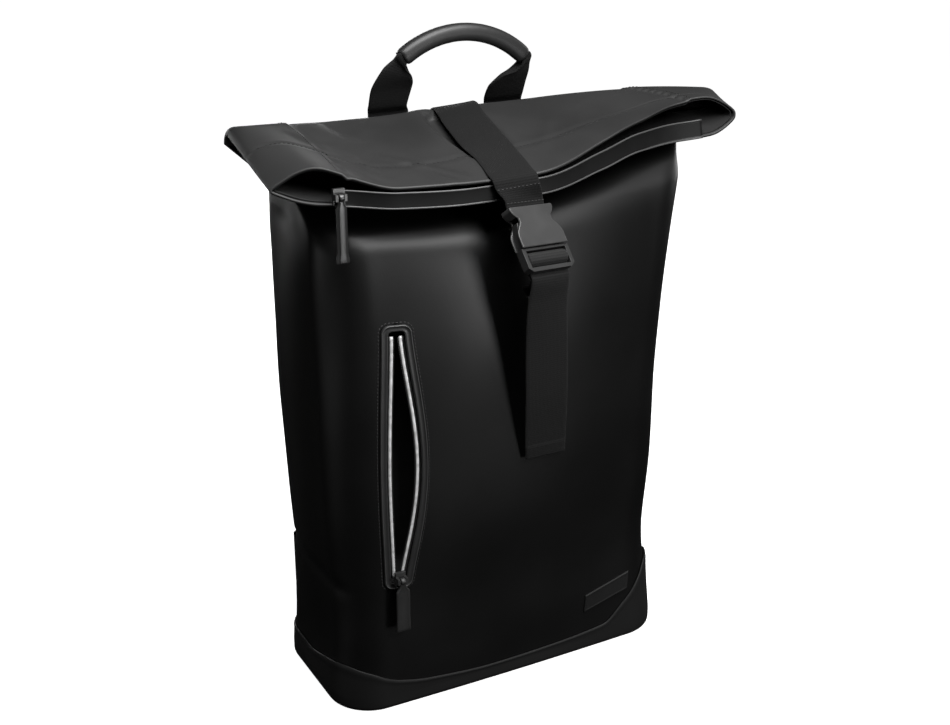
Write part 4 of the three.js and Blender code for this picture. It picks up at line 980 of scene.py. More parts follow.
# %% Profiles along paths
def run_length(path):
    """The distance from the start of a path to each of its points."""
    return np.concatenate([[0], np.cumsum(np.linalg.norm(np.diff(path, axis=0), axis=1))])


def even(path, count, *along):
    """A path at evenly spaced stations, and other values given at its points at the same stations."""
    path = np.asarray(path, float)
    length = run_length(path)
    at = np.linspace(0, length[-1], count)
    out = [np.stack([curve_through(length, path[:, k], at) for k in range(3)], axis=1)]
    for value in along:
        value = np.asarray(value, float)
        if value.ndim == 1:
            out.append(curve_through(length, value, at))
        else:
            read = [curve_through(length, value[:, k], at) for k in range(value.shape[1])]
            out.append(unit(np.stack(read, axis=1)))
    return out if along else out[0]


def headings(path):
    """The direction of a path at each point, from its neighbours."""
    return unit(np.gradient(path, axis=0))


def carry(path, across, out, outline, width, thickness):
    """The outline's points at each station: across times half the width, and out times half the
    thickness, added to the path."""
    width = np.broadcast_to(width, len(path))[:, None, None]
    thickness = np.broadcast_to(thickness, len(path))[:, None, None]
    return (path[:, None] + across[:, None] * outline[None, :, :1] * width / 2
            + out[:, None] * outline[None, :, 1:] * thickness / 2)


def turned_out(mesh):
    """Turns a closed mesh so that its faces point outwards, which its signed volume tells."""
    spots = np.empty(len(mesh.vertices) * 3)
    mesh.vertices.foreach_get("co", spots)
    spots = spots.reshape(-1, 3)
    mesh.calc_loop_triangles()
    corners = np.empty(len(mesh.loop_triangles) * 3, np.int32)
    mesh.loop_triangles.foreach_get("vertices", corners)
    a, b, c = np.moveaxis(spots[corners.reshape(-1, 3)], 1, 0)
    if np.einsum("ij,ij->", a, np.cross(b, c)) < 0:
        mesh.flip_normals()
    return mesh


def tube_piece(name, points, **options):
    """A closed tube as a piece, with its faces outwards."""
    piece = link(name, turned_out(grid_mesh(name, points, wrap_columns=True, **options)))
    print(f"{name}: {len(piece.data.polygons)} faces")
    return piece


def webbing_outline(steps=14, selvedge=0.16):
    """A flat strap's outline: two faces, round at the selvedges and a little thicker just inside them."""
    u = np.sin(np.linspace(-1, 1, steps) * np.pi / 2)
    round_off = np.sqrt(np.clip(1 - np.abs(u) ** 14, 0.05, 1))
    w = round_off * (1 + selvedge * hump(np.abs(u), 0.93, 0.05))
    return np.concatenate([np.stack([u, w], axis=1), np.stack([u[::-1], -w[::-1]], axis=1)])


def oval_outline(steps=28, power=2.4):
    """A padded outline: a superellipse, whose sides are fuller than an ellipse's."""
    angle = np.linspace(0, 2 * np.pi, steps, endpoint=False)

    def fuller(v):
        return np.sign(v) * np.abs(v) ** (2 / power)
    return np.stack([fuller(np.cos(angle)), fuller(np.sin(angle))], axis=1)


# %% [markdown]
# ## Stitches
# A seam reads as sewn because of its thread. Each stitch is a short spindle of 22 faces that sinks into
# the cloth at both ends. All stitches of one seam are made as one array: the seam's line is walked at an
# even pitch, and the same small spindle is set up at every step.

# %% Stitch maker
def stitches(lines, pitch=3.4, length=2.3, radius=0.30):
    """Spindles along lines. Each line is (points, outward directions)."""
    rings = np.array([[-0.5, 0.25], [-0.3, 0.85], [0.0, 1.0], [0.3, 0.85], [0.5, 0.25]])
    turn = np.arange(5) / 5 * 2 * np.pi
    points, corners, sizes, start = [], [], [], 0
    for path, outwards in lines:
        count = max(3, int(run_length(np.asarray(path, float))[-1] / pitch))
        at, out = even(path, count, outwards)
        along = headings(at)
        side = unit(np.cross(along, out))
        up = np.cross(side, along)
        spot = (at[:, None, None] + along[:, None, None] * (rings[:, 0] * length)[None, :, None, None]
                + side[:, None, None] * (rings[:, 1:] * radius * np.cos(turn))[None, :, :, None]
                + up[:, None, None] * (rings[:, 1:] * radius * np.sin(turn))[None, :, :, None])
        points.append(spot.reshape(-1, 3))
        r, c = np.meshgrid(np.arange(4), np.arange(5), indexing="ij")
        quad = np.stack([r * 5 + c, r * 5 + (c + 1) % 5, (r + 1) * 5 + (c + 1) % 5, (r + 1) * 5 + c], axis=-1)
        ends = np.array([[0, 1, 2, 3, 4][::-1], [20, 21, 22, 23, 24]])
        base = start + np.arange(count) * 25
        faces = [base[:, None] + quad.reshape(1, -1), base[:, None] + ends.reshape(1, -1)]
        corners.append(np.concatenate(faces, axis=1).ravel())
        sizes.append(np.tile([4] * 20 + [5] * 2, count))
        start += count * 25
    return np.concatenate(points), np.concatenate(corners), np.concatenate(sizes)


def stitch_piece(name, lines, finish, slot, **options):
    """A piece of many stitches."""
    points, corners, sizes = stitches(lines, **options)
    piece = link(name, turned_out(raw_mesh(name, points, corners, sizes)))
    print(f"{name}: {len(points) // 25} stitches")
    return wear(piece, finish)


def roll_line(s, q, lift=0.15):
    """Points on the roll's top ply, lifted a little, with the directions out of it."""
    s, q = np.asarray(s, float), np.asarray(q, float)
    one = np.ones_like(s)
    step = 1e-3
    at = roll_point(q, s, one)
    along = roll_point(q + step, s, one) - roll_point(q - step, s, one)
    across = roll_point(q, s + step, one) - roll_point(q, s - step, one)
    out = unit(np.cross(across, along))
    lower, upper = roll_lines(q, s)
    out = out * np.sign(np.einsum("ij,ij->i", out, upper - lower))[:, None]
    return at + out * lift, out


SEAM_STITCH_GAP = 0.020

row = np.linspace(-0.955, 0.945, 120)
row_q = curve_through(STITCH_LINE[:, 0], STITCH_LINE[:, 1], row)
seam_q = np.linspace(0.35, 1.93, 60)
left_row = curve_through(LEFT_SEAM[:, 0], LEFT_SEAM[:, 1], seam_q) - SEAM_STITCH_GAP
right_row = curve_through(RIGHT_SEAM[:, 0], RIGHT_SEAM[:, 1], seam_q) + SEAM_STITCH_GAP
roll_rows = [roll_line(row, row_q), roll_line(left_row, seam_q), roll_line(right_row, seam_q)]
stitch_piece("roll_stitches", roll_rows, thread_finish, "body_fabric")

# %% [markdown]
# ## Mouth zip
# The mouth is shut by a coated zip whose band stands on the lower ply, with a bright piping along each
# edge. The band is a thin plate whose face is a little hollow between its edges. It grows from 12 mm tall
# at the left to 15 mm at the right.

# %% Zip band
BAND_LEFT = -0.80
BAND_RIGHT = 0.85
BAND_HEIGHTS = (12.0, 15.0)
BAND_THICKNESS = 2.0
PIPING_RADIUS = 0.75


def band_frames(s, inner=1.72):
    """Lower edge of the mouth, the way up to its upper edge, and the way out of the bag."""
    low, high = mouth_lines(s)
    up = unit(high - low)
    behind = roll_lines(np.full_like(s, inner), s)[0]
    inwards = unit(behind - low)
    out = unit(np.cross(unit(np.gradient(low, axis=0)), up))
    return low, up, out * np.sign(-np.einsum("ij,ij->i", out, inwards))[:, None]


band_s = np.linspace(BAND_LEFT, BAND_RIGHT, 150)
band_low, band_up, band_out = band_frames(band_s)
band_height = mix(*BAND_HEIGHTS, smooth(-0.35, 0.5, band_s))
face_share = np.linspace(0.07, 0.93, 17)
face_out = 0.55 - 0.25 * np.sin(np.pi * face_share)
face_rise = band_up[:, None] * (band_height[:, None, None] * face_share[None, :, None])
face_points = band_low[:, None] + face_rise + band_out[:, None] * face_out[None, :, None]
back_points = face_points[:, ::-1][:, ::4] - band_out[:, None] * BAND_THICKNESS
band_points = np.concatenate([face_points, back_points], axis=1)
zip_band = tube_piece("zip_band", band_points, caps=True)
wear(stand_for(zip_band, "mouth_zip_band", slot="zip_tape"), band_finish)


def piping(name, at_height, out_by):
    """A round bead along the band at a height."""
    path = band_low + band_up * np.ravel(at_height)[:, None] + band_out * out_by
    ring_turn = np.linspace(0, 2 * np.pi, 10, endpoint=False)
    circle = np.stack([np.cos(ring_turn), np.sin(ring_turn)], axis=1)
    bead = carry(path, band_up, band_out, circle, 2 * PIPING_RADIUS, 2 * PIPING_RADIUS)
    return wear(stand_for(tube_piece(name, bead, caps=True), slot="zip_tape"), piping_finish)


piping("zip_piping_lower", 0 * band_height + 0.4, 0.55)
piping("zip_piping_upper", band_height - 0.2, 0.35)

# %% [markdown]
# ## Straps
# The closing strap comes up from the back, over the fold and the roll, and is sewn round the buckle's
# socket. It is found on the roll itself: at each station the surface is read under both of its edges,
# the strap lies on those two points, and its thickness stands out from them.

# %% Closing strap
STRAP_WIDTH = 38
STRAP_BACK_X = 17.5
STRAP_MOUTH_X = -20
STRAP_RISE = 2
STRAP_DIP = 6
WEBBING = 1.6
SEAT = 0.5
YOKE_LOW = 408
YOKE_HIGH = 440
BUCKLE_TOP = np.array([-14.3, -107.9, 425.8])
BUCKLE_TILT = np.radians(38)
BUCKLE_TURN = np.radians(-4.5)
BUCKLE_YAW = np.radians(12)
SOCKET_SLOT = 6
SOCKET_LENGTH = 32.5
PLUG_MIDDLE_BAR = -SOCKET_LENGTH - 8.2
STRAP_STATIONS = 150
SLOT_HEIGHT = FOLD_HEIGHT - FOLD_OUTER_RADIUS

cos_turn, sin_turn = np.cos(-BUCKLE_TURN), np.sin(-BUCKLE_TURN)
cos_tilt, sin_tilt = np.cos(-BUCKLE_TILT), np.sin(-BUCKLE_TILT)
cos_yaw, sin_yaw = np.cos(BUCKLE_YAW), np.sin(BUCKLE_YAW)
about_x = np.array([[1, 0, 0], [0, cos_tilt, -sin_tilt], [0, sin_tilt, cos_tilt]])
about_y = np.array([[cos_turn, 0, sin_turn], [0, 1, 0], [-sin_turn, 0, cos_turn]])
about_z = np.array([[cos_yaw, -sin_yaw, 0], [sin_yaw, cos_yaw, 0], [0, 0, 1]])
BUCKLE_AXES = about_z @ about_y @ about_x


def at_buckle(y, z, x=0.0):
    """A point of the buckle's own frame, in the bag's frame."""
    return BUCKLE_TOP + BUCKLE_AXES @ np.array([x, y, z])


buckle_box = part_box("buckle_socket")
print("socket box:", [[round(v / MM) for v in corner] for corner in buckle_box])


def ribbon(name, path, across, out, width, thickness, steps=16):
    """A strap as a closed tube."""
    return tube_piece(name, carry(path, across, out, webbing_outline(steps), width, thickness), caps=True)


stations = np.concatenate([np.linspace(0, 1, 7), np.linspace(1, 2, 9)[1:]])
share = run_length(roll_lines(stations, np.zeros(len(stations)))[1])
share = share / share[-1]
middle_x = mix(STRAP_BACK_X, STRAP_MOUTH_X, share)


def strap_edge(c):
    """One edge of the strap on the smooth roll, lifted off it."""
    centre_x = mix(LEAN, MOUTH_X, np.clip(stations - 1, 0, 1))
    half = mix(FLAT_WIDTH / 2, MOUTH_WIDTH / 2, np.clip(stations - 1, 0, 1))
    s = (middle_x + c * STRAP_WIDTH / 2 - centre_x) / half
    lower, upper = roll_lines(stations, s)
    lift = SEAT + np.where(stations <= 1, STRAP_RISE * smooth(0, 0.35, stations), SEAT) + WEBBING / 2
    if c < 0:
        lift = lift - STRAP_DIP * smooth(0.45, 0.95, stations) * smooth(1.8, 1.4, stations)
    return upper + unit(upper - lower) * lift[:, None]


left_edge, right_edge = strap_edge(-1), strap_edge(1)
mouth_s = (STRAP_MOUTH_X + np.array([-1, 1]) * STRAP_WIDTH / 2 - MOUTH_X) * 2 / MOUTH_WIDTH
mouth_edge = mouth_lines(mouth_s)[1]


def over_mouth(edge):
    """Two points of the strap's edge past the mouth: just over it, and in front of it."""
    return [edge + (0, -2.2, -0.6) + np.array([0, -0.75, 0.66]) * 1.3,
            edge + (0.6, -4.0, -4.2) + np.array([0, -1, 0.1]) * 1.3]


back_low = np.array([STRAP_BACK_X, SLOT_BACK + SEAT + WEBBING / 2, YOKE_LOW + 4])
back_high = np.array([STRAP_BACK_X, SLOT_BACK + SEAT + WEBBING / 2, mix(YOKE_LOW, SLOT_HEIGHT, 0.6)])
into = [at_buckle(-SEAT - WEBBING / 2 + 0.2, 5), at_buckle(0, -1.5), at_buckle(0, -SOCKET_SLOT + 0.3)]
buckle_across = BUCKLE_AXES @ np.array([1.0, 0, 0])
half = STRAP_WIDTH / 2
left_run = np.array([back_low - (half, 0, 0), back_high - (half, 0, 0), *left_edge,
                     *over_mouth(mouth_edge[0]), *[p - buckle_across * half for p in into]])
right_run = np.array([back_low + (half, 0, 0), back_high + (half, 0, 0), *right_edge,
                      *over_mouth(mouth_edge[1]), *[p + buckle_across * half for p in into]])
strap_path, strap_across = even((left_run + right_run) / 2, STRAP_STATIONS, unit(right_run - left_run))
strap_out = unit(np.cross(strap_across, headings(strap_path)))
strap_out *= np.sign(strap_out[60] @ np.array([0, 0, 1.0]))
share = np.linspace(0, 1, STRAP_STATIONS)
doubled = 1 + 0.55 * smooth(0.905, 0.915, share) * smooth(0.985, 0.97, share)
closing_strap = ribbon("closing_strap", strap_path, strap_across, strap_out, STRAP_WIDTH, WEBBING * doubled)
wear(stand_for(closing_strap, "closure_strap", slot="webbing"), strap_finish_painted_shade)


def cross_row(path, across, out, share, lift, width):
    """A stitch line straight across a strap at a share of its length."""
    at = int(share * (len(path) - 1))
    run = np.linspace(-0.46, 0.46, 12)[:, None] * width
    return path[at] + across[at] * run + out[at] * lift, np.tile(out[at], (12, 1))


strap_rows = [cross_row(strap_path, strap_across, strap_out, share, WEBBING * 0.8, STRAP_WIDTH)
              for share in (0.918, 0.966)]
stitch_piece("strap_stitches", strap_rows, light_thread_finish, "webbing", pitch=3.0, length=2.0, radius=0.28)

# %% [markdown]
# The lower webbing is sewn to the front, runs up behind the buckle's plug, goes round its middle bar and
# hangs down in front as a tail with a folded end. Its path is a short list of points, which round the bar
# are given in the buckle's own frame.

# %% Front webbing
TAIL_END = 215
TAIL_X = 13
ANCHOR_X = 14
ANCHOR_END = 352

bar = PLUG_MIDDLE_BAR
loop = np.array([at_buckle(y, z) for y, z in [
    (4.7, bar - 14), (4.7, bar - 4), (4.2, bar + 2.2), (2.4, bar + 4.2), (-0.2, bar + 4.5), (-2.6, bar + 3.1),
    (-3.4, bar), (-2.8, bar - 3.2), (-0.4, bar - 5.2), (1.7, bar - 7.0), (2.35, bar - 10), (2.35, bar - 14)]])
share = np.array([0, 0.35, 0.7])
anchor_z = mix(ANCHOR_END, loop[0, 2], share)
anchor_x = mix(ANCHOR_X, loop[0, 0], share)
anchor_y = mix(front_skin(anchor_x, anchor_z) - SEAT - WEBBING / 2, loop[0, 1], smooth(0.1, 1, share))
tail_share = np.array([0.12, 0.35, 0.6, 0.85, 1.0])
rest_y = front_skin(TAIL_X, TAIL_END) - 2 * SEAT - 2 * WEBBING
tail_bow = np.array([0.0, -0.8, -1.6, -0.8, 0.0])
tail_shift = np.array([-1.8, -2.2, -1.6, -1.0, -0.5])
tail = xyz(mix(loop[-1, 0], TAIL_X, tail_share) + tail_shift, mix(loop[-1, 1], rest_y, tail_share) + tail_bow,
           mix(loop[-1, 2], TAIL_END, tail_share))
web_points = np.concatenate([xyz(anchor_x, anchor_y, anchor_z), loop, tail])
turn_share = np.concatenate([np.arange(3) / 4, np.ones(len(loop)), [0.7, 0.2, 0, 0, 0]])
web_across = unit(mix(np.array([1.0, 0, 0])[None], buckle_across[None], turn_share[:, None]))
web_path, web_across = even(web_points, 240, web_across)
web_out = unit(np.cross(web_across, headings(web_path)))
web_run = run_length(web_path)
folded = smooth(web_run[-1] - 13.5, web_run[-1] - 12.5, web_run)
front_web = ribbon("front_strap", web_path, web_across, web_out, STRAP_WIDTH - 0.6 * folded,
                   WEBBING * (1 + 0.7 * folded))
wear(stand_for(front_web, "front_webbing", slot="webbing"), tail_finish)
tail_row = cross_row(web_path, web_across, web_out, 1 - 10.5 / web_run[-1], WEBBING * 0.9, STRAP_WIDTH)
stitch_piece("tail_stitches", [tail_row], light_thread_finish, "webbing", pitch=3.0, length=2.0, radius=0.28)

# %% [markdown]
# ## Mouldings
# The buckle, sliders, pullers and adjusters are rigid, and their solids already have the right shape, but
# with knife edges that no moulding has. A copy of each is welded, its flat faces are merged, and its
# edges are rounded, so each edge catches a thin line of light.

# %% Rounded mouldings
def moulding(name, node, finish, slot, width=0.5, segments=2):
    """A welded copy of a solid with rounded edges, which takes the solid's place."""
    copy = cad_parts[node].data.copy()
    copy.name = name
    shape = bmesh.new()
    shape.from_mesh(copy)
    bmesh.ops.remove_doubles(shape, verts=shape.verts, dist=1e-5)
    bmesh.ops.dissolve_limit(shape, angle_limit=np.radians(2), verts=shape.verts, edges=shape.edges)
    shape.to_mesh(copy)
    shape.free()
    piece = bpy.data.objects.new(name, copy)
    scene.collection.objects.link(piece)
    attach(piece, "root")
    copy.polygons.foreach_set("use_smooth", np.ones(len(copy.polygons), bool))
    round_edges(piece, width, segments, 30)
    normals = piece.modifiers.new("shading", "WEIGHTED_NORMAL")
    normals.keep_sharp = False
    return wear(stand_for(piece, node, slot=slot), finish)


# piece, node, finish, slot, width of the rounding in millimetres, segments
MOULDINGS = [
    ("buckle_body", "buckle_socket", plastic_finish, "black_plastic", 0.9, 3),
    ("buckle_tongue", "buckle_plug", plug_finish, "black_plastic", 0.5, 2),
    ("mouth_slider", "mouth_zip_slider", metal_finish, "zip_metal", 0.4, 2),
    ("pocket_slider", "pocket_zip_slider", puller_finish, "black_plastic", 0.4, 2),
    ("left_adjuster", "strap_adjuster_left", plug_finish, "black_plastic", 0.6, 2),
    ("right_adjuster", "strap_adjuster_right", plug_finish, "black_plastic", 0.6, 2),
]
for piece_name, node, finish, slot_name, width, segments in MOULDINGS:
    moulding(piece_name, node, finish, slot_name, width, segments)
print("mouldings:", len(MOULDINGS))

# %% [markdown]
# ## Pullers
# A puller is a bar with an eye. Its width and thickness change along its length, so it is a carried
# profile too, with both read from a short table. The metal one has a raised middle and flares at the tip,
# and the moulded one has a raised rim at both sides. The eye is a small ring round the slider's pin.

# %% Puller maker
PULLER_THICKNESS = 2.2
BAR_START = 2.2
EYE_RADIUS = 2.3
PIN_BELOW_TOP = 2.9
# node, finish, slot, length and width, then rows of share along, share of width and share of thickness
PULLERS = {
    "mouth": ("mouth_zip_puller", metal_finish, "zip_metal", 49, 8.5,
              [[0.00, 0.62, 0.9], [0.06, 0.62, 1.0], [0.12, 0.98, 1.05], [0.16, 1.0, 1.1], [0.84, 1.0, 1.1],
               [0.93, 1.22, 1.1], [0.985, 1.24, 1.0], [1.0, 1.10, 0.5]]),
    "pocket": ("pocket_zip_puller", puller_finish, "black_plastic", 46, 12,
               [[0.00, 0.42, 0.9], [0.06, 0.42, 1.0], [0.15, 0.95, 1.05], [0.19, 1.0, 1.1], [0.70, 1.0, 1.2],
                [0.95, 1.06, 1.25], [0.99, 1.04, 1.0], [1.0, 0.92, 0.5]])}
PULLER_OUTLINES = {
    "mouth": np.array([[-1, -0.1], [-0.64, -0.45], [-0.5, -1], [0.5, -1], [0.64, -0.45], [1, -0.1], [1, 0.9],
                       [-1, 0.9]]),
    "pocket": np.array([[-1, -0.35], [-0.93, -0.8], [-0.7, -1], [-0.6, -0.8], [0.6, -0.8], [0.7, -1],
                        [0.93, -0.8], [1, -0.35], [1, 0.35], [0.93, 0.8], [0.6, 0.95], [-0.6, 0.95],
                        [-0.93, 0.8], [-1, 0.35]])}


def puller(kind):
    """The bar and the eye as one mesh, hung from the middle of the slider's pin."""
    node, finish, slot_name, length, width, rows = PULLERS[kind]
    low, high = (np.array(corner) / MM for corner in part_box(node))
    pin = np.array([(low[0] + high[0]) / 2, (low[1] + high[1]) / 2, high[2] - PIN_BELOW_TOP])
    rows = np.array(rows)
    at = np.linspace(0, 1, 60)
    path = pin + xyz(0 * at, 0 * at, -BAR_START - at * (length - BAR_START))
    across = np.tile([1.0, 0, 0], (60, 1))
    out = np.tile([0, 1.0, 0], (60, 1))
    widths = width * np.interp(at, rows[:, 0], rows[:, 1])
    thicknesses = PULLER_THICKNESS * np.interp(at, rows[:, 0], rows[:, 2])
    bar_points = carry(path, across, out, PULLER_OUTLINES[kind], widths, thicknesses)
    bar_mesh = turned_out(grid_mesh(node, bar_points, wrap_columns=True, caps=True))
    turn = np.linspace(0, 2 * np.pi, 24, endpoint=False)
    eye_path = pin + xyz(0 * turn, EYE_RADIUS * np.sin(turn), EYE_RADIUS * np.cos(turn))
    eye_out = xyz(0 * turn, np.sin(turn), np.cos(turn))
    eye_points = carry(eye_path, np.tile([1.0, 0, 0], (24, 1)), eye_out, oval_outline(12, 3.0), 4.0, 1.3)
    eye_mesh = turned_out(grid_mesh(node + "_eye", eye_points, wrap_rows=True, wrap_columns=True))
    joined = bmesh.new()
    joined.from_mesh(bar_mesh)
    joined.from_mesh(eye_mesh)
    joined.to_mesh(bar_mesh)
    joined.free()
    bpy.data.meshes.remove(eye_mesh)
    piece = link(kind + "_puller", bar_mesh)
    round_edges(piece, 0.25, 2, 25)
    return wear(stand_for(piece, node, slot=slot_name), finish)


puller("mouth")
puller("pocket")

# %% [markdown]
# ## Front pocket
# Round the cut runs a narrow welt with round corners and a row of stitches outside it. Under it lie the two
# halves of the zip: a dark woven tape, a silver reflective line along its edge, and the coil of teeth.
# Everything follows the same zip line, moved outwards by a few millimetres.

# %% Welt
# how far outside the teeth, and how far proud of the front
WELT_PROFILE = [(4.3, 0.5), (4.3, 1.5), (4.7, 1.95), (5.3, 1.9), (5.9, 1.6), (7.6, 1.55), (8.1, 1.9),
                (8.6, 2.1), (9.1, 1.9), (9.3, 1.3), (9.3, 0.3), (6.8, 0.4)]
BEAD_OUT = 8.6
BEAD_PROUD = 2.0
BEAD_SIZE = 0.8
STITCHES_OUT = 10.9


def slit_outline(outwards, steps=60, corner_steps=8):
    """A closed line round the zip, moved outwards, whose four corners are quarter circles."""
    low, high = SLIT_LOW - outwards, SLIT_HIGH + outwards
    radius = 0.72 * outwards
    z = np.linspace(low + radius, high - radius, steps)
    inner = np.interp(z, [low, high], [SLIT_LOW, SLIT_HIGH])
    right = np.stack([teeth_line(1, inner) + outwards, z], axis=1)
    left = np.stack([teeth_line(-1, inner) - outwards, z], axis=1)
    turn = np.linspace(0, np.pi / 2, corner_steps)[1:-1]

    def quarter(middle, first):
        return middle + radius * np.stack([np.cos(first + turn), np.sin(first + turn)], axis=1)
    return np.concatenate([
        right, quarter(right[-1] - (radius, 0), 0), [right[-1] + (-radius, radius)],
        np.linspace(right[-1] + (-radius, radius), left[-1] + (radius, radius), 6)[1:],
        quarter(left[-1] + (radius, 0), np.pi / 2), left[::-1],
        quarter(left[0] + (radius, 0), np.pi), [left[0] + (radius, -radius)],
        np.linspace(left[0] + (radius, -radius), right[0] + (-radius, -radius), 6)[1:],
        quarter(right[0] - (radius, 0), -np.pi / 2)])


def on_front(line, proud):
    """A line in x and z laid on the front, standing proud of it."""
    return xyz(line[:, 0], front_skin(line[:, 0], line[:, 1]) - proud, line[:, 1])


def closed_ring(name, points):
    """A tube whose two ends meet, as a piece."""
    return link(name, turned_out(grid_mesh(name, points, wrap_rows=True, wrap_columns=True)))


welt_points = np.stack([on_front(slit_outline(outwards), proud) for outwards, proud in WELT_PROFILE])
welt = closed_ring("pocket_frame", welt_points)
wear(stand_for(welt, "pocket_welt", slot="zip_tape"), welt_finish)
bead_line = slit_outline(BEAD_OUT)
bead_path = on_front(np.concatenate([bead_line, bead_line[:1]]), BEAD_PROUD)
front_out = np.tile([0, -1.0, 0], (len(bead_path), 1))
bead_across = unit(np.cross(headings(bead_path), front_out))
circle_turn = np.linspace(0, 2 * np.pi, 8, endpoint=False)
bead_points = carry(bead_path[:-1], bead_across[:-1], front_out[:-1],
                    np.stack([np.cos(circle_turn), np.sin(circle_turn)], axis=1), BEAD_SIZE, BEAD_SIZE)
bead = closed_ring("pocket_piping", bead_points)
wear(stand_for(bead, slot="zip_tape"), piping_finish)

stitch_line = slit_outline(STITCHES_OUT)
stitch_line = np.concatenate([stitch_line, stitch_line[:1]])
pocket_row = (on_front(stitch_line, 0.15), np.tile([0, -1.0, 0], (len(stitch_line), 1)))
stitch_piece("pocket_stitches", [pocket_row], light_thread_finish, "body_fabric", pitch=3.0, length=2.0,
             radius=0.32)

# %% Zip tapes, silver line and teeth
tape_z = np.linspace(SLIT_LOW, SLIT_HIGH, 90)


def tape_grid(side, columns, depths):
    """A strip beside one row of teeth: columns outwards from it, each at a depth below the front."""
    x = teeth_line(side, tape_z)[:, None] + side * np.asarray(columns)[None]
    skin = front_skin(x, np.broadcast_to(tape_z[:, None], x.shape))
    return xyz(x, skin + np.asarray(depths)[None], np.broadcast_to(tape_z[:, None], x.shape))


for side, word in ((-1, "left"), (1, "right")):
    loop_columns = [0.9, 2.4, 4.0, 6.0, 6.0, 4.0, 2.4, 0.9]
    loop_depths = [0.35, 0.35, 0.4, 0.5, 1.4, 1.4, 1.4, 1.4]
    tape = tube_piece(f"zip_tape_{word}", tape_grid(side, loop_columns, loop_depths), caps=True)
    wear(stand_for(tape, f"pocket_tape_{word}", slot="zip_tape"), tape_finish)
    film_columns = [0.2, 0.5, 1.2, 2.0, 2.5, 2.5, 1.2, 0.2]
    film_depths = [-0.15, -0.45, -0.55, -0.45, -0.1, 0.4, 0.4, 0.4]
    film = tube_piece(f"zip_silver_{word}", tape_grid(side, film_columns, film_depths), caps=True)
    wear(stand_for(film, slot="reflective_zip"), silver_finish)

TOOTH_PITCH = 1.9
tooth_z = np.arange(SLIT_LOW + 8, SLIT_HIGH - 1, TOOTH_PITCH)


def teeth_mesh(side):
    """One row of teeth as small eight-cornered blocks: a fixed block, set down at every pitch."""
    z = tooth_z + (TOOTH_PITCH / 2 if side > 0 else 0)
    x = teeth_line(side, z)
    y = front_skin(x, z) + 0.25
    block = np.array([[a, b, c] for a in (-0.9, 0.5) for b in (-0.45, 0.55) for c in (-0.55, 0.55)])
    block = block * np.array([side, 1, 1])
    block[:4, 1:] *= 0.75
    at = xyz(x, y, z)[:, None] + block[None]
    faces = np.array([[0, 1, 3, 2], [4, 6, 7, 5], [0, 4, 5, 1], [2, 3, 7, 6], [0, 2, 6, 4], [1, 5, 7, 3]])
    corners = (np.arange(len(z)) * 8)[:, None, None] + faces[None]
    return turned_out(raw_mesh("teeth", at, corners, np.full(len(z) * 6, 4)))


for side, word in ((-1, "left"), (1, "right")):
    teeth = link(f"zip_teeth_{word}", teeth_mesh(side))
    teeth.data.polygons.foreach_set("use_smooth", np.zeros(len(teeth.data.polygons), bool))
    wear(stand_for(teeth, slot="zip_metal"), plug_finish)
print("teeth:", 2 * len(tooth_z))

# %% [markdown]
# Behind the opening hangs the pocket's own bag of thin lining. It is a tray in the solid. Here its floor
# sags in soft vertical folds, which fade out towards the sewn rim.

# %% Pocket lining
POUCH = (-142, -8)
POUCH_MARGIN = 12
POUCH_DEPTH = 24


def pouch_grid(depth, inset, rim):
    """A tray: the rim lies behind the front, the floor a depth further in, with folds along z."""
    u, v = np.meshgrid(np.linspace(0, 1, 60), np.linspace(0, 1, 60))
    x = mix(POUCH[0] + inset, POUCH[1] - inset, u)
    z = mix(SLIT_LOW - POUCH_MARGIN + inset, SLIT_HIGH + POUCH_MARGIN - inset, v)
    bowl = smooth(0, 0.14, u) * smooth(1, 0.90, u) * smooth(0, 0.07, v) * smooth(1, 0.95, v)
    folds = 1.3 * np.sin(u * 21 + 2.2 * np.sin(v * 4)) * bowl
    return xyz(x, front_skin(x, z) + FABRIC + rim + (depth - rim + np.minimum(folds, 0)) * bowl, z)


pouch = grid_piece("pocket_lining", pouch_grid(POUCH_DEPTH - 0.6, 0.4, 1.2))
thicken(pouch, 0.8, 0.0)
wear(stand_for(pouch, "pocket_pouch", slot="lining"), lining_finish)

# %% [markdown]
# ## Label patch
# A bare rubber patch sits low on the right, turned with the seam below it. It has a raised border, and
# nothing is written on it.

# %% Patch
PATCH = {"width": 49, "height": 17, "x": 93, "z": 54, "turn": np.radians(12.5), "slant": 0.27}


def patch_grid():
    """A rectangle turned on the front. The proud height steps up at the border and rolls off at the edge."""
    u, v = np.meshgrid(np.linspace(-1, 1, 90), np.linspace(-1, 1, 36))
    rim = np.minimum((1 - np.abs(u)) * PATCH["width"] / 2, (1 - np.abs(v)) * PATCH["height"] / 2)
    proud = 0.3 + 0.9 * smooth(0, 0.5, rim) + 0.35 * hump(rim, 1.3, 0.5)
    b = v * PATCH["height"] / 2
    a = u * PATCH["width"] / 2 + PATCH["slant"] * b
    x = PATCH["x"] + a * np.cos(PATCH["turn"]) - b * np.sin(PATCH["turn"])
    z = PATCH["z"] + a * np.sin(PATCH["turn"]) + b * np.cos(PATCH["turn"])
    return xyz(x, front_skin(x, z) - proud, z)


patch = grid_piece("patch", patch_grid())
thicken(patch, 0.6)
wear(stand_for(patch, "label_patch", slot="patch"), patch_finish)

# %% [markdown]
# ## Handle
# The carrying handle is a folded webbing loop whose top is sleeved in the coated fabric. The sleeve is
# padded. The legs start folded narrow inside the sleeve and open out to flat webbing where they are sewn
# to the back.

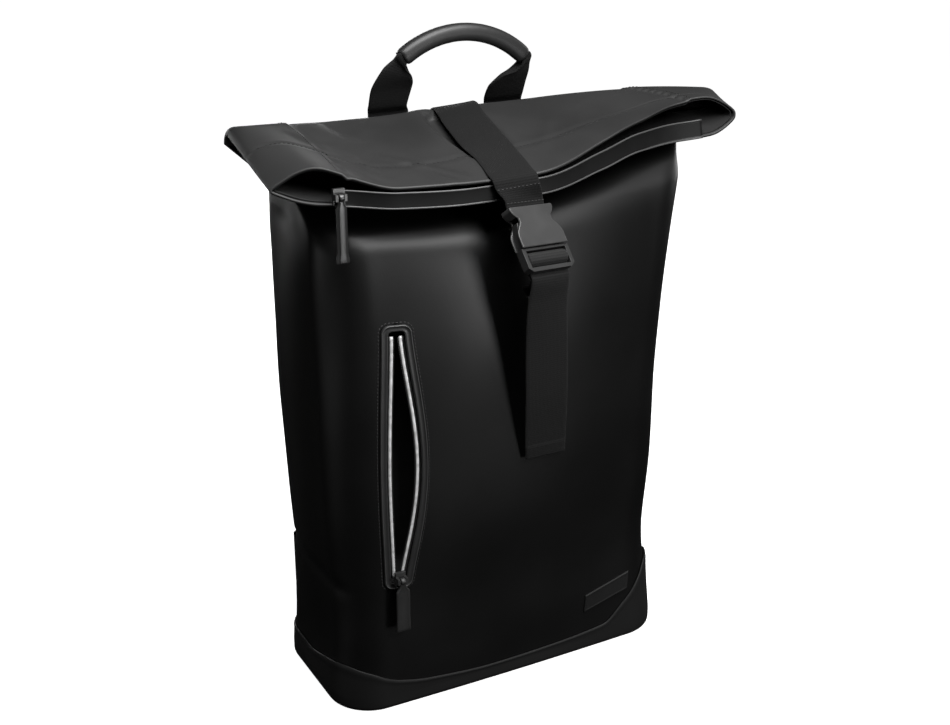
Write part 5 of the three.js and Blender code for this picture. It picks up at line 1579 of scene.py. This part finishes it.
# %% Handle shapes
HANDLE_X = 13.5
HANDLE_LEAN_X = 1.5
HANDLE_LEAN_Y = -21
HANDLE_LEG_SPACING = 109
HANDLE_WEB = 37
GRIP_RADIUS = 90
GRIP_HALF_ANGLE = 39
GRIP_TURN = 3
GRIP_TOP = 533.5
GRIP_HEIGHT = 13
GRIP_DEPTH = 14
# For each leg, down from the sleeve: shares of the leg spacing, of the lean and of the height above the
# fold, then of the webbing's width and thickness, and the webbing's turn in degrees
LEG_ROWS = {-1: [[0.935, 0.98, 0.85, 0.50, 3.2, -40], [1.000, 0.92, 0.72, 0.74, 2.2, -16],
                 [1.035, 0.53, 0.40, 1.00, 1.6, 0], [1.050, 0.24, 0.07, 0.96, 1.2, 0]],
            1: [[1.000, 0.92, 0.66, 0.82, 2.4, 14], [0.950, 0.58, 0.36, 1.02, 1.7, 6],
                [0.965, 0.24, 0.08, 1.02, 1.2, 0]]}


def grip_point(angle):
    """A point of the grip's arc at an angle from its top, in degrees."""
    a = np.radians(angle)
    return xyz(HANDLE_X + HANDLE_LEAN_X + GRIP_RADIUS * np.sin(a), SLOT_BACK + HANDLE_LEAN_Y + 0 * a,
               GRIP_TOP - GRIP_RADIUS + GRIP_RADIUS * np.cos(a))


def grip_points(stations, steps, height, depth):
    """The sleeve: superellipses along the arc, a little smaller at both ends."""
    angle = np.linspace(GRIP_TURN - GRIP_HALF_ANGLE, GRIP_TURN + GRIP_HALF_ANGLE, stations)
    a = np.radians(angle)
    end = np.minimum(np.arange(stations), np.arange(stations)[::-1]) / (stations / 40)
    shut = 0.94 + 0.06 * np.sqrt(np.clip(end / 1.5, 0, 1))
    across = xyz(np.sin(a), 0 * a, np.cos(a))
    out = np.tile([0, 1.0, 0], (stations, 1))
    return carry(grip_point(angle), across, out, oval_outline(steps, 2.5), height * shut, depth * shut)


def padded_shape(name, points, voxel, reach, pressure=4.0, frames=16):
    """A pad by cloth simulation: the closed shape is remeshed into even cells and blown up a little
    with gravity off, and no point may move further than reach."""
    mesh = turned_out(grid_mesh(name, points, wrap_columns=True, caps=True))
    piece = link(name, mesh)
    remesh = piece.modifiers.new("cells", "REMESH")
    remesh.mode = "VOXEL"
    remesh.voxel_size = voxel * MM
    remesh.use_smooth_shade = True
    bpy.context.view_layer.update()
    depsgraph = bpy.context.evaluated_depsgraph_get()
    celled = bpy.data.meshes.new_from_object(piece.evaluated_get(depsgraph))
    piece.modifiers.clear()
    piece.data = celled
    count = len(celled.vertices)
    before = np.empty(count * 3)
    celled.vertices.foreach_get("co", before)
    cloth = piece.modifiers.new("pad", "CLOTH")
    cloth.settings.use_pressure = True
    cloth.settings.uniform_pressure_force = pressure
    cloth.settings.effector_weights.gravity = 0
    cloth.settings.quality = 5
    cloth.point_cache.frame_start = 1
    cloth.point_cache.frame_end = frames
    for step in range(1, frames + 1):
        scene.frame_set(step)
    depsgraph = bpy.context.evaluated_depsgraph_get()
    blown = bpy.data.meshes.new_from_object(piece.evaluated_get(depsgraph))
    piece.modifiers.clear()
    after = np.empty(count * 3)
    blown.vertices.foreach_get("co", after)
    move = (after - before).reshape(-1, 3)
    size = np.linalg.norm(move, axis=1, keepdims=True)
    move *= np.minimum(1, reach * MM / np.maximum(size, 1e-9))
    celled.vertices.foreach_set("co", (before.reshape(-1, 3) + move).ravel())
    celled.update()
    bpy.data.meshes.remove(blown)
    scene.frame_set(1)
    print(f"{name}: {count} points moved {size.mean() / MM:.2f} mm, at most {reach}")
    return piece


def soften(piece, rounds=0):
    """Evens out the cells' ripple, and then one level of subdivision over them."""
    if rounds:
        relax = piece.modifiers.new("relax", "SMOOTH")
        relax.factor = 0.5
        relax.iterations = rounds
    subdivide = piece.modifiers.new("soft", "SUBSURF")
    subdivide.levels = 1
    subdivide.render_levels = 1
    piece.data.polygons.foreach_set("use_smooth", np.ones(len(piece.data.polygons), bool))
    return piece


grip = soften(padded_shape("grip_sleeve", grip_points(60, 28, GRIP_HEIGHT + 2.0, GRIP_DEPTH - 0.4), 1.8, 0.9))
wear(stand_for(grip, "handle_grip", slot="body_fabric"), grip_finish)

# %% Legs
def leg(side):
    """One leg: folded webbing from the sleeve's end down to the yoke."""
    angle = GRIP_TURN + side * GRIP_HALF_ANGLE
    a = np.radians(angle)
    end = grip_point(angle)
    tangent = side * np.array([np.cos(a), 0, -np.sin(a)])
    radial = side * np.array([np.sin(a), 0, np.cos(a)])
    behind = SLOT_BACK + SEAT + WEBBING / 2
    rows = [[*(end - 4.0 * tangent), *radial, 0.66 * GRIP_HEIGHT, 0.5 * GRIP_DEPTH],
            [*(end + 1.2 * tangent), *radial, 0.9 * GRIP_HEIGHT, 0.6 * GRIP_DEPTH]]
    for share, lean_share, height, width, thickness, turn in LEG_ROWS[side]:
        t = np.radians(turn)
        rows.append([HANDLE_X + side * share * HANDLE_LEG_SPACING / 2, behind + lean_share * HANDLE_LEAN_Y,
                     mix(FOLD_HEIGHT, end[2], height), np.cos(t), 0, np.sin(t), width * HANDLE_WEB,
                     thickness * WEBBING])
    for z in (FOLD_HEIGHT - 4, YOKE_HIGH, YOKE_LOW + 6):
        rows.append([HANDLE_X + side * HANDLE_LEG_SPACING / 2, behind, z, 1, 0, 0, HANDLE_WEB, WEBBING])
    rows = np.array(rows)
    path, across, width, thickness = even(rows[:, :3], 90, rows[:, 3:6], rows[:, 6], rows[:, 7])
    out = unit(np.cross(across, headings(path)))
    word = "left" if side < 0 else "right"
    piece = ribbon(f"grip_leg_{word}", path, across, out, width, thickness)
    return wear(stand_for(piece, f"handle_leg_{word}", slot="webbing"), handle_finish)


leg(-1)
leg(1)

# %% [markdown]
# ## Back
# The back is seen only when the bag is turned round, and is finished plainly: a webbing yoke that holds
# the handle, the strap and the two shoulder pads, the pads themselves, their adjusters and webbing, and a
# triangle in each lower corner that holds the webbing's end.

# %% Yoke
YOKE_WIDTH = 166
YOKE_FACE = SLOT_BACK + SEAT + WEBBING + 0.3
YOKE_THICKNESS = 2.2
yoke_x = np.linspace(HANDLE_X - YOKE_WIDTH / 2, HANDLE_X + YOKE_WIDTH / 2, 60)
yoke_path = xyz(yoke_x, YOKE_FACE + 0.6 + YOKE_THICKNESS / 2, (YOKE_LOW + YOKE_HIGH) / 2)
yoke = ribbon("yoke_web", yoke_path, np.tile([0, 0, 1.0], (60, 1)), np.tile([0, 1.0, 0], (60, 1)),
              YOKE_HIGH - YOKE_LOW, YOKE_THICKNESS)
wear(stand_for(yoke, "back_yoke", slot="webbing"), back_web_finish)

# %% Shoulder pads
PAD_WIDTH = 58
PAD_THICKNESS = 11
PAD_SPACING = 80
PAD_MIDDLE = 8
# millimetres outwards, then shares of the pad's thickness back, the yoke's height, the width and the
# thickness
PAD_ROWS = np.array([
    [0, 0.55, 1.000, 0.90, 0.45], [1, 0.95, 0.975, 1.00, 0.85], [3, 1.70, 0.915, 1.00, 1.00],
    [7, 2.40, 0.820, 1.00, 1.00], [14, 2.65, 0.710, 0.98, 1.00], [22, 2.40, 0.600, 0.94, 1.00],
    [30, 1.85, 0.500, 0.86, 0.95], [34, 1.50, 0.455, 0.66, 0.60]])


def pad_path(side):
    """The middle line of one shoulder pad."""
    return xyz(PAD_MIDDLE + side * (PAD_SPACING / 2 + PAD_ROWS[:, 0]),
               BODY_DEPTH / 2 + PAD_THICKNESS * PAD_ROWS[:, 1] + 0.3, YOKE_LOW * PAD_ROWS[:, 2] - 0.3)


def shoulder_pad(side):
    """A pad: superellipses along its line, a little thin, which the simulation fills out."""
    path, width, thickness = even(pad_path(side), 110, PAD_ROWS[:, 3], PAD_ROWS[:, 4])
    across = np.tile([1.0, 0, 0], (110, 1))
    out = unit(np.cross(across, headings(path)))
    points = carry(path, across, out, oval_outline(40, 3.2), PAD_WIDTH * width - 1.5,
                   PAD_THICKNESS * thickness - 2.2)
    word = "left" if side < 0 else "right"
    pad = soften(padded_shape(f"pad_{word}", points, 4.0, 1.1), rounds=8)
    wear(stand_for(pad, f"shoulder_pad_{word}", slot="body_fabric"), grip_finish)
    facing = out * np.sign(out[50, 1])
    inwards = PAD_WIDTH * width[:, None] / 2 - 6.5
    proud = PAD_THICKNESS * thickness[:, None] / 2 * 0.93
    edges = [path + across * inwards * way + facing * proud for way in (-1, 1)]
    rows = [(edge[4:-5], facing[4:-5]) for edge in edges]
    stitch_piece(f"pad_stitches_{word}", rows, thread_finish, "body_fabric")


for side in (-1, 1):
    shoulder_pad(side)

# %% Shoulder webbing and corner triangles
SHOULDER_WEB = 25
ADJUSTER_LENGTH = 26
ADJUSTER_THICKNESS = 6
ANCHOR = {"out": 131, "y": BODY_DEPTH / 2 + 3.2, "z": 92}


def shoulder_web(side):
    """The webbing from the adjuster down to the corner, with the solid's own route."""
    end = pad_path(side)[-1]
    adjuster = end + (side * 3, -1.5, -ADJUSTER_LENGTH / 2 - 0.6)
    start = adjuster + (0, -ADJUSTER_THICKNESS / 2 + 1.2, -ADJUSTER_LENGTH / 2 + 4)
    finish_x = PAD_MIDDLE * 0.3 + side * (ANCHOR["out"] - 4)
    share = np.linspace(0, 1, 60)
    path = xyz(mix(start[0], finish_x, smooth(0, 1, share)), mix(start[1], ANCHOR["y"] + WEBBING, share),
               mix(start[2], ANCHOR["z"] + 8, share))
    across = unit(np.cross(headings(path), np.array([0, 1.0, 0])))
    across *= np.sign(across[:, :1])
    across = unit(mix(np.array([[1.0, 0, 0]]), across, smooth(0, 0.2, share)[:, None]))
    out = unit(np.cross(across, headings(path)))
    word = "left" if side < 0 else "right"
    piece = ribbon(f"shoulder_web_{word}", path, across, out, SHOULDER_WEB, WEBBING)
    return wear(stand_for(piece, f"shoulder_webbing_{word}", slot="webbing"), back_web_finish)


for side, word in ((-1, "left"), (1, "right")):
    shoulder_web(side)
    moulding(f"corner_tab_{word}", f"anchor_tab_{word}", body_finish, "webbing", 0.4, 2)
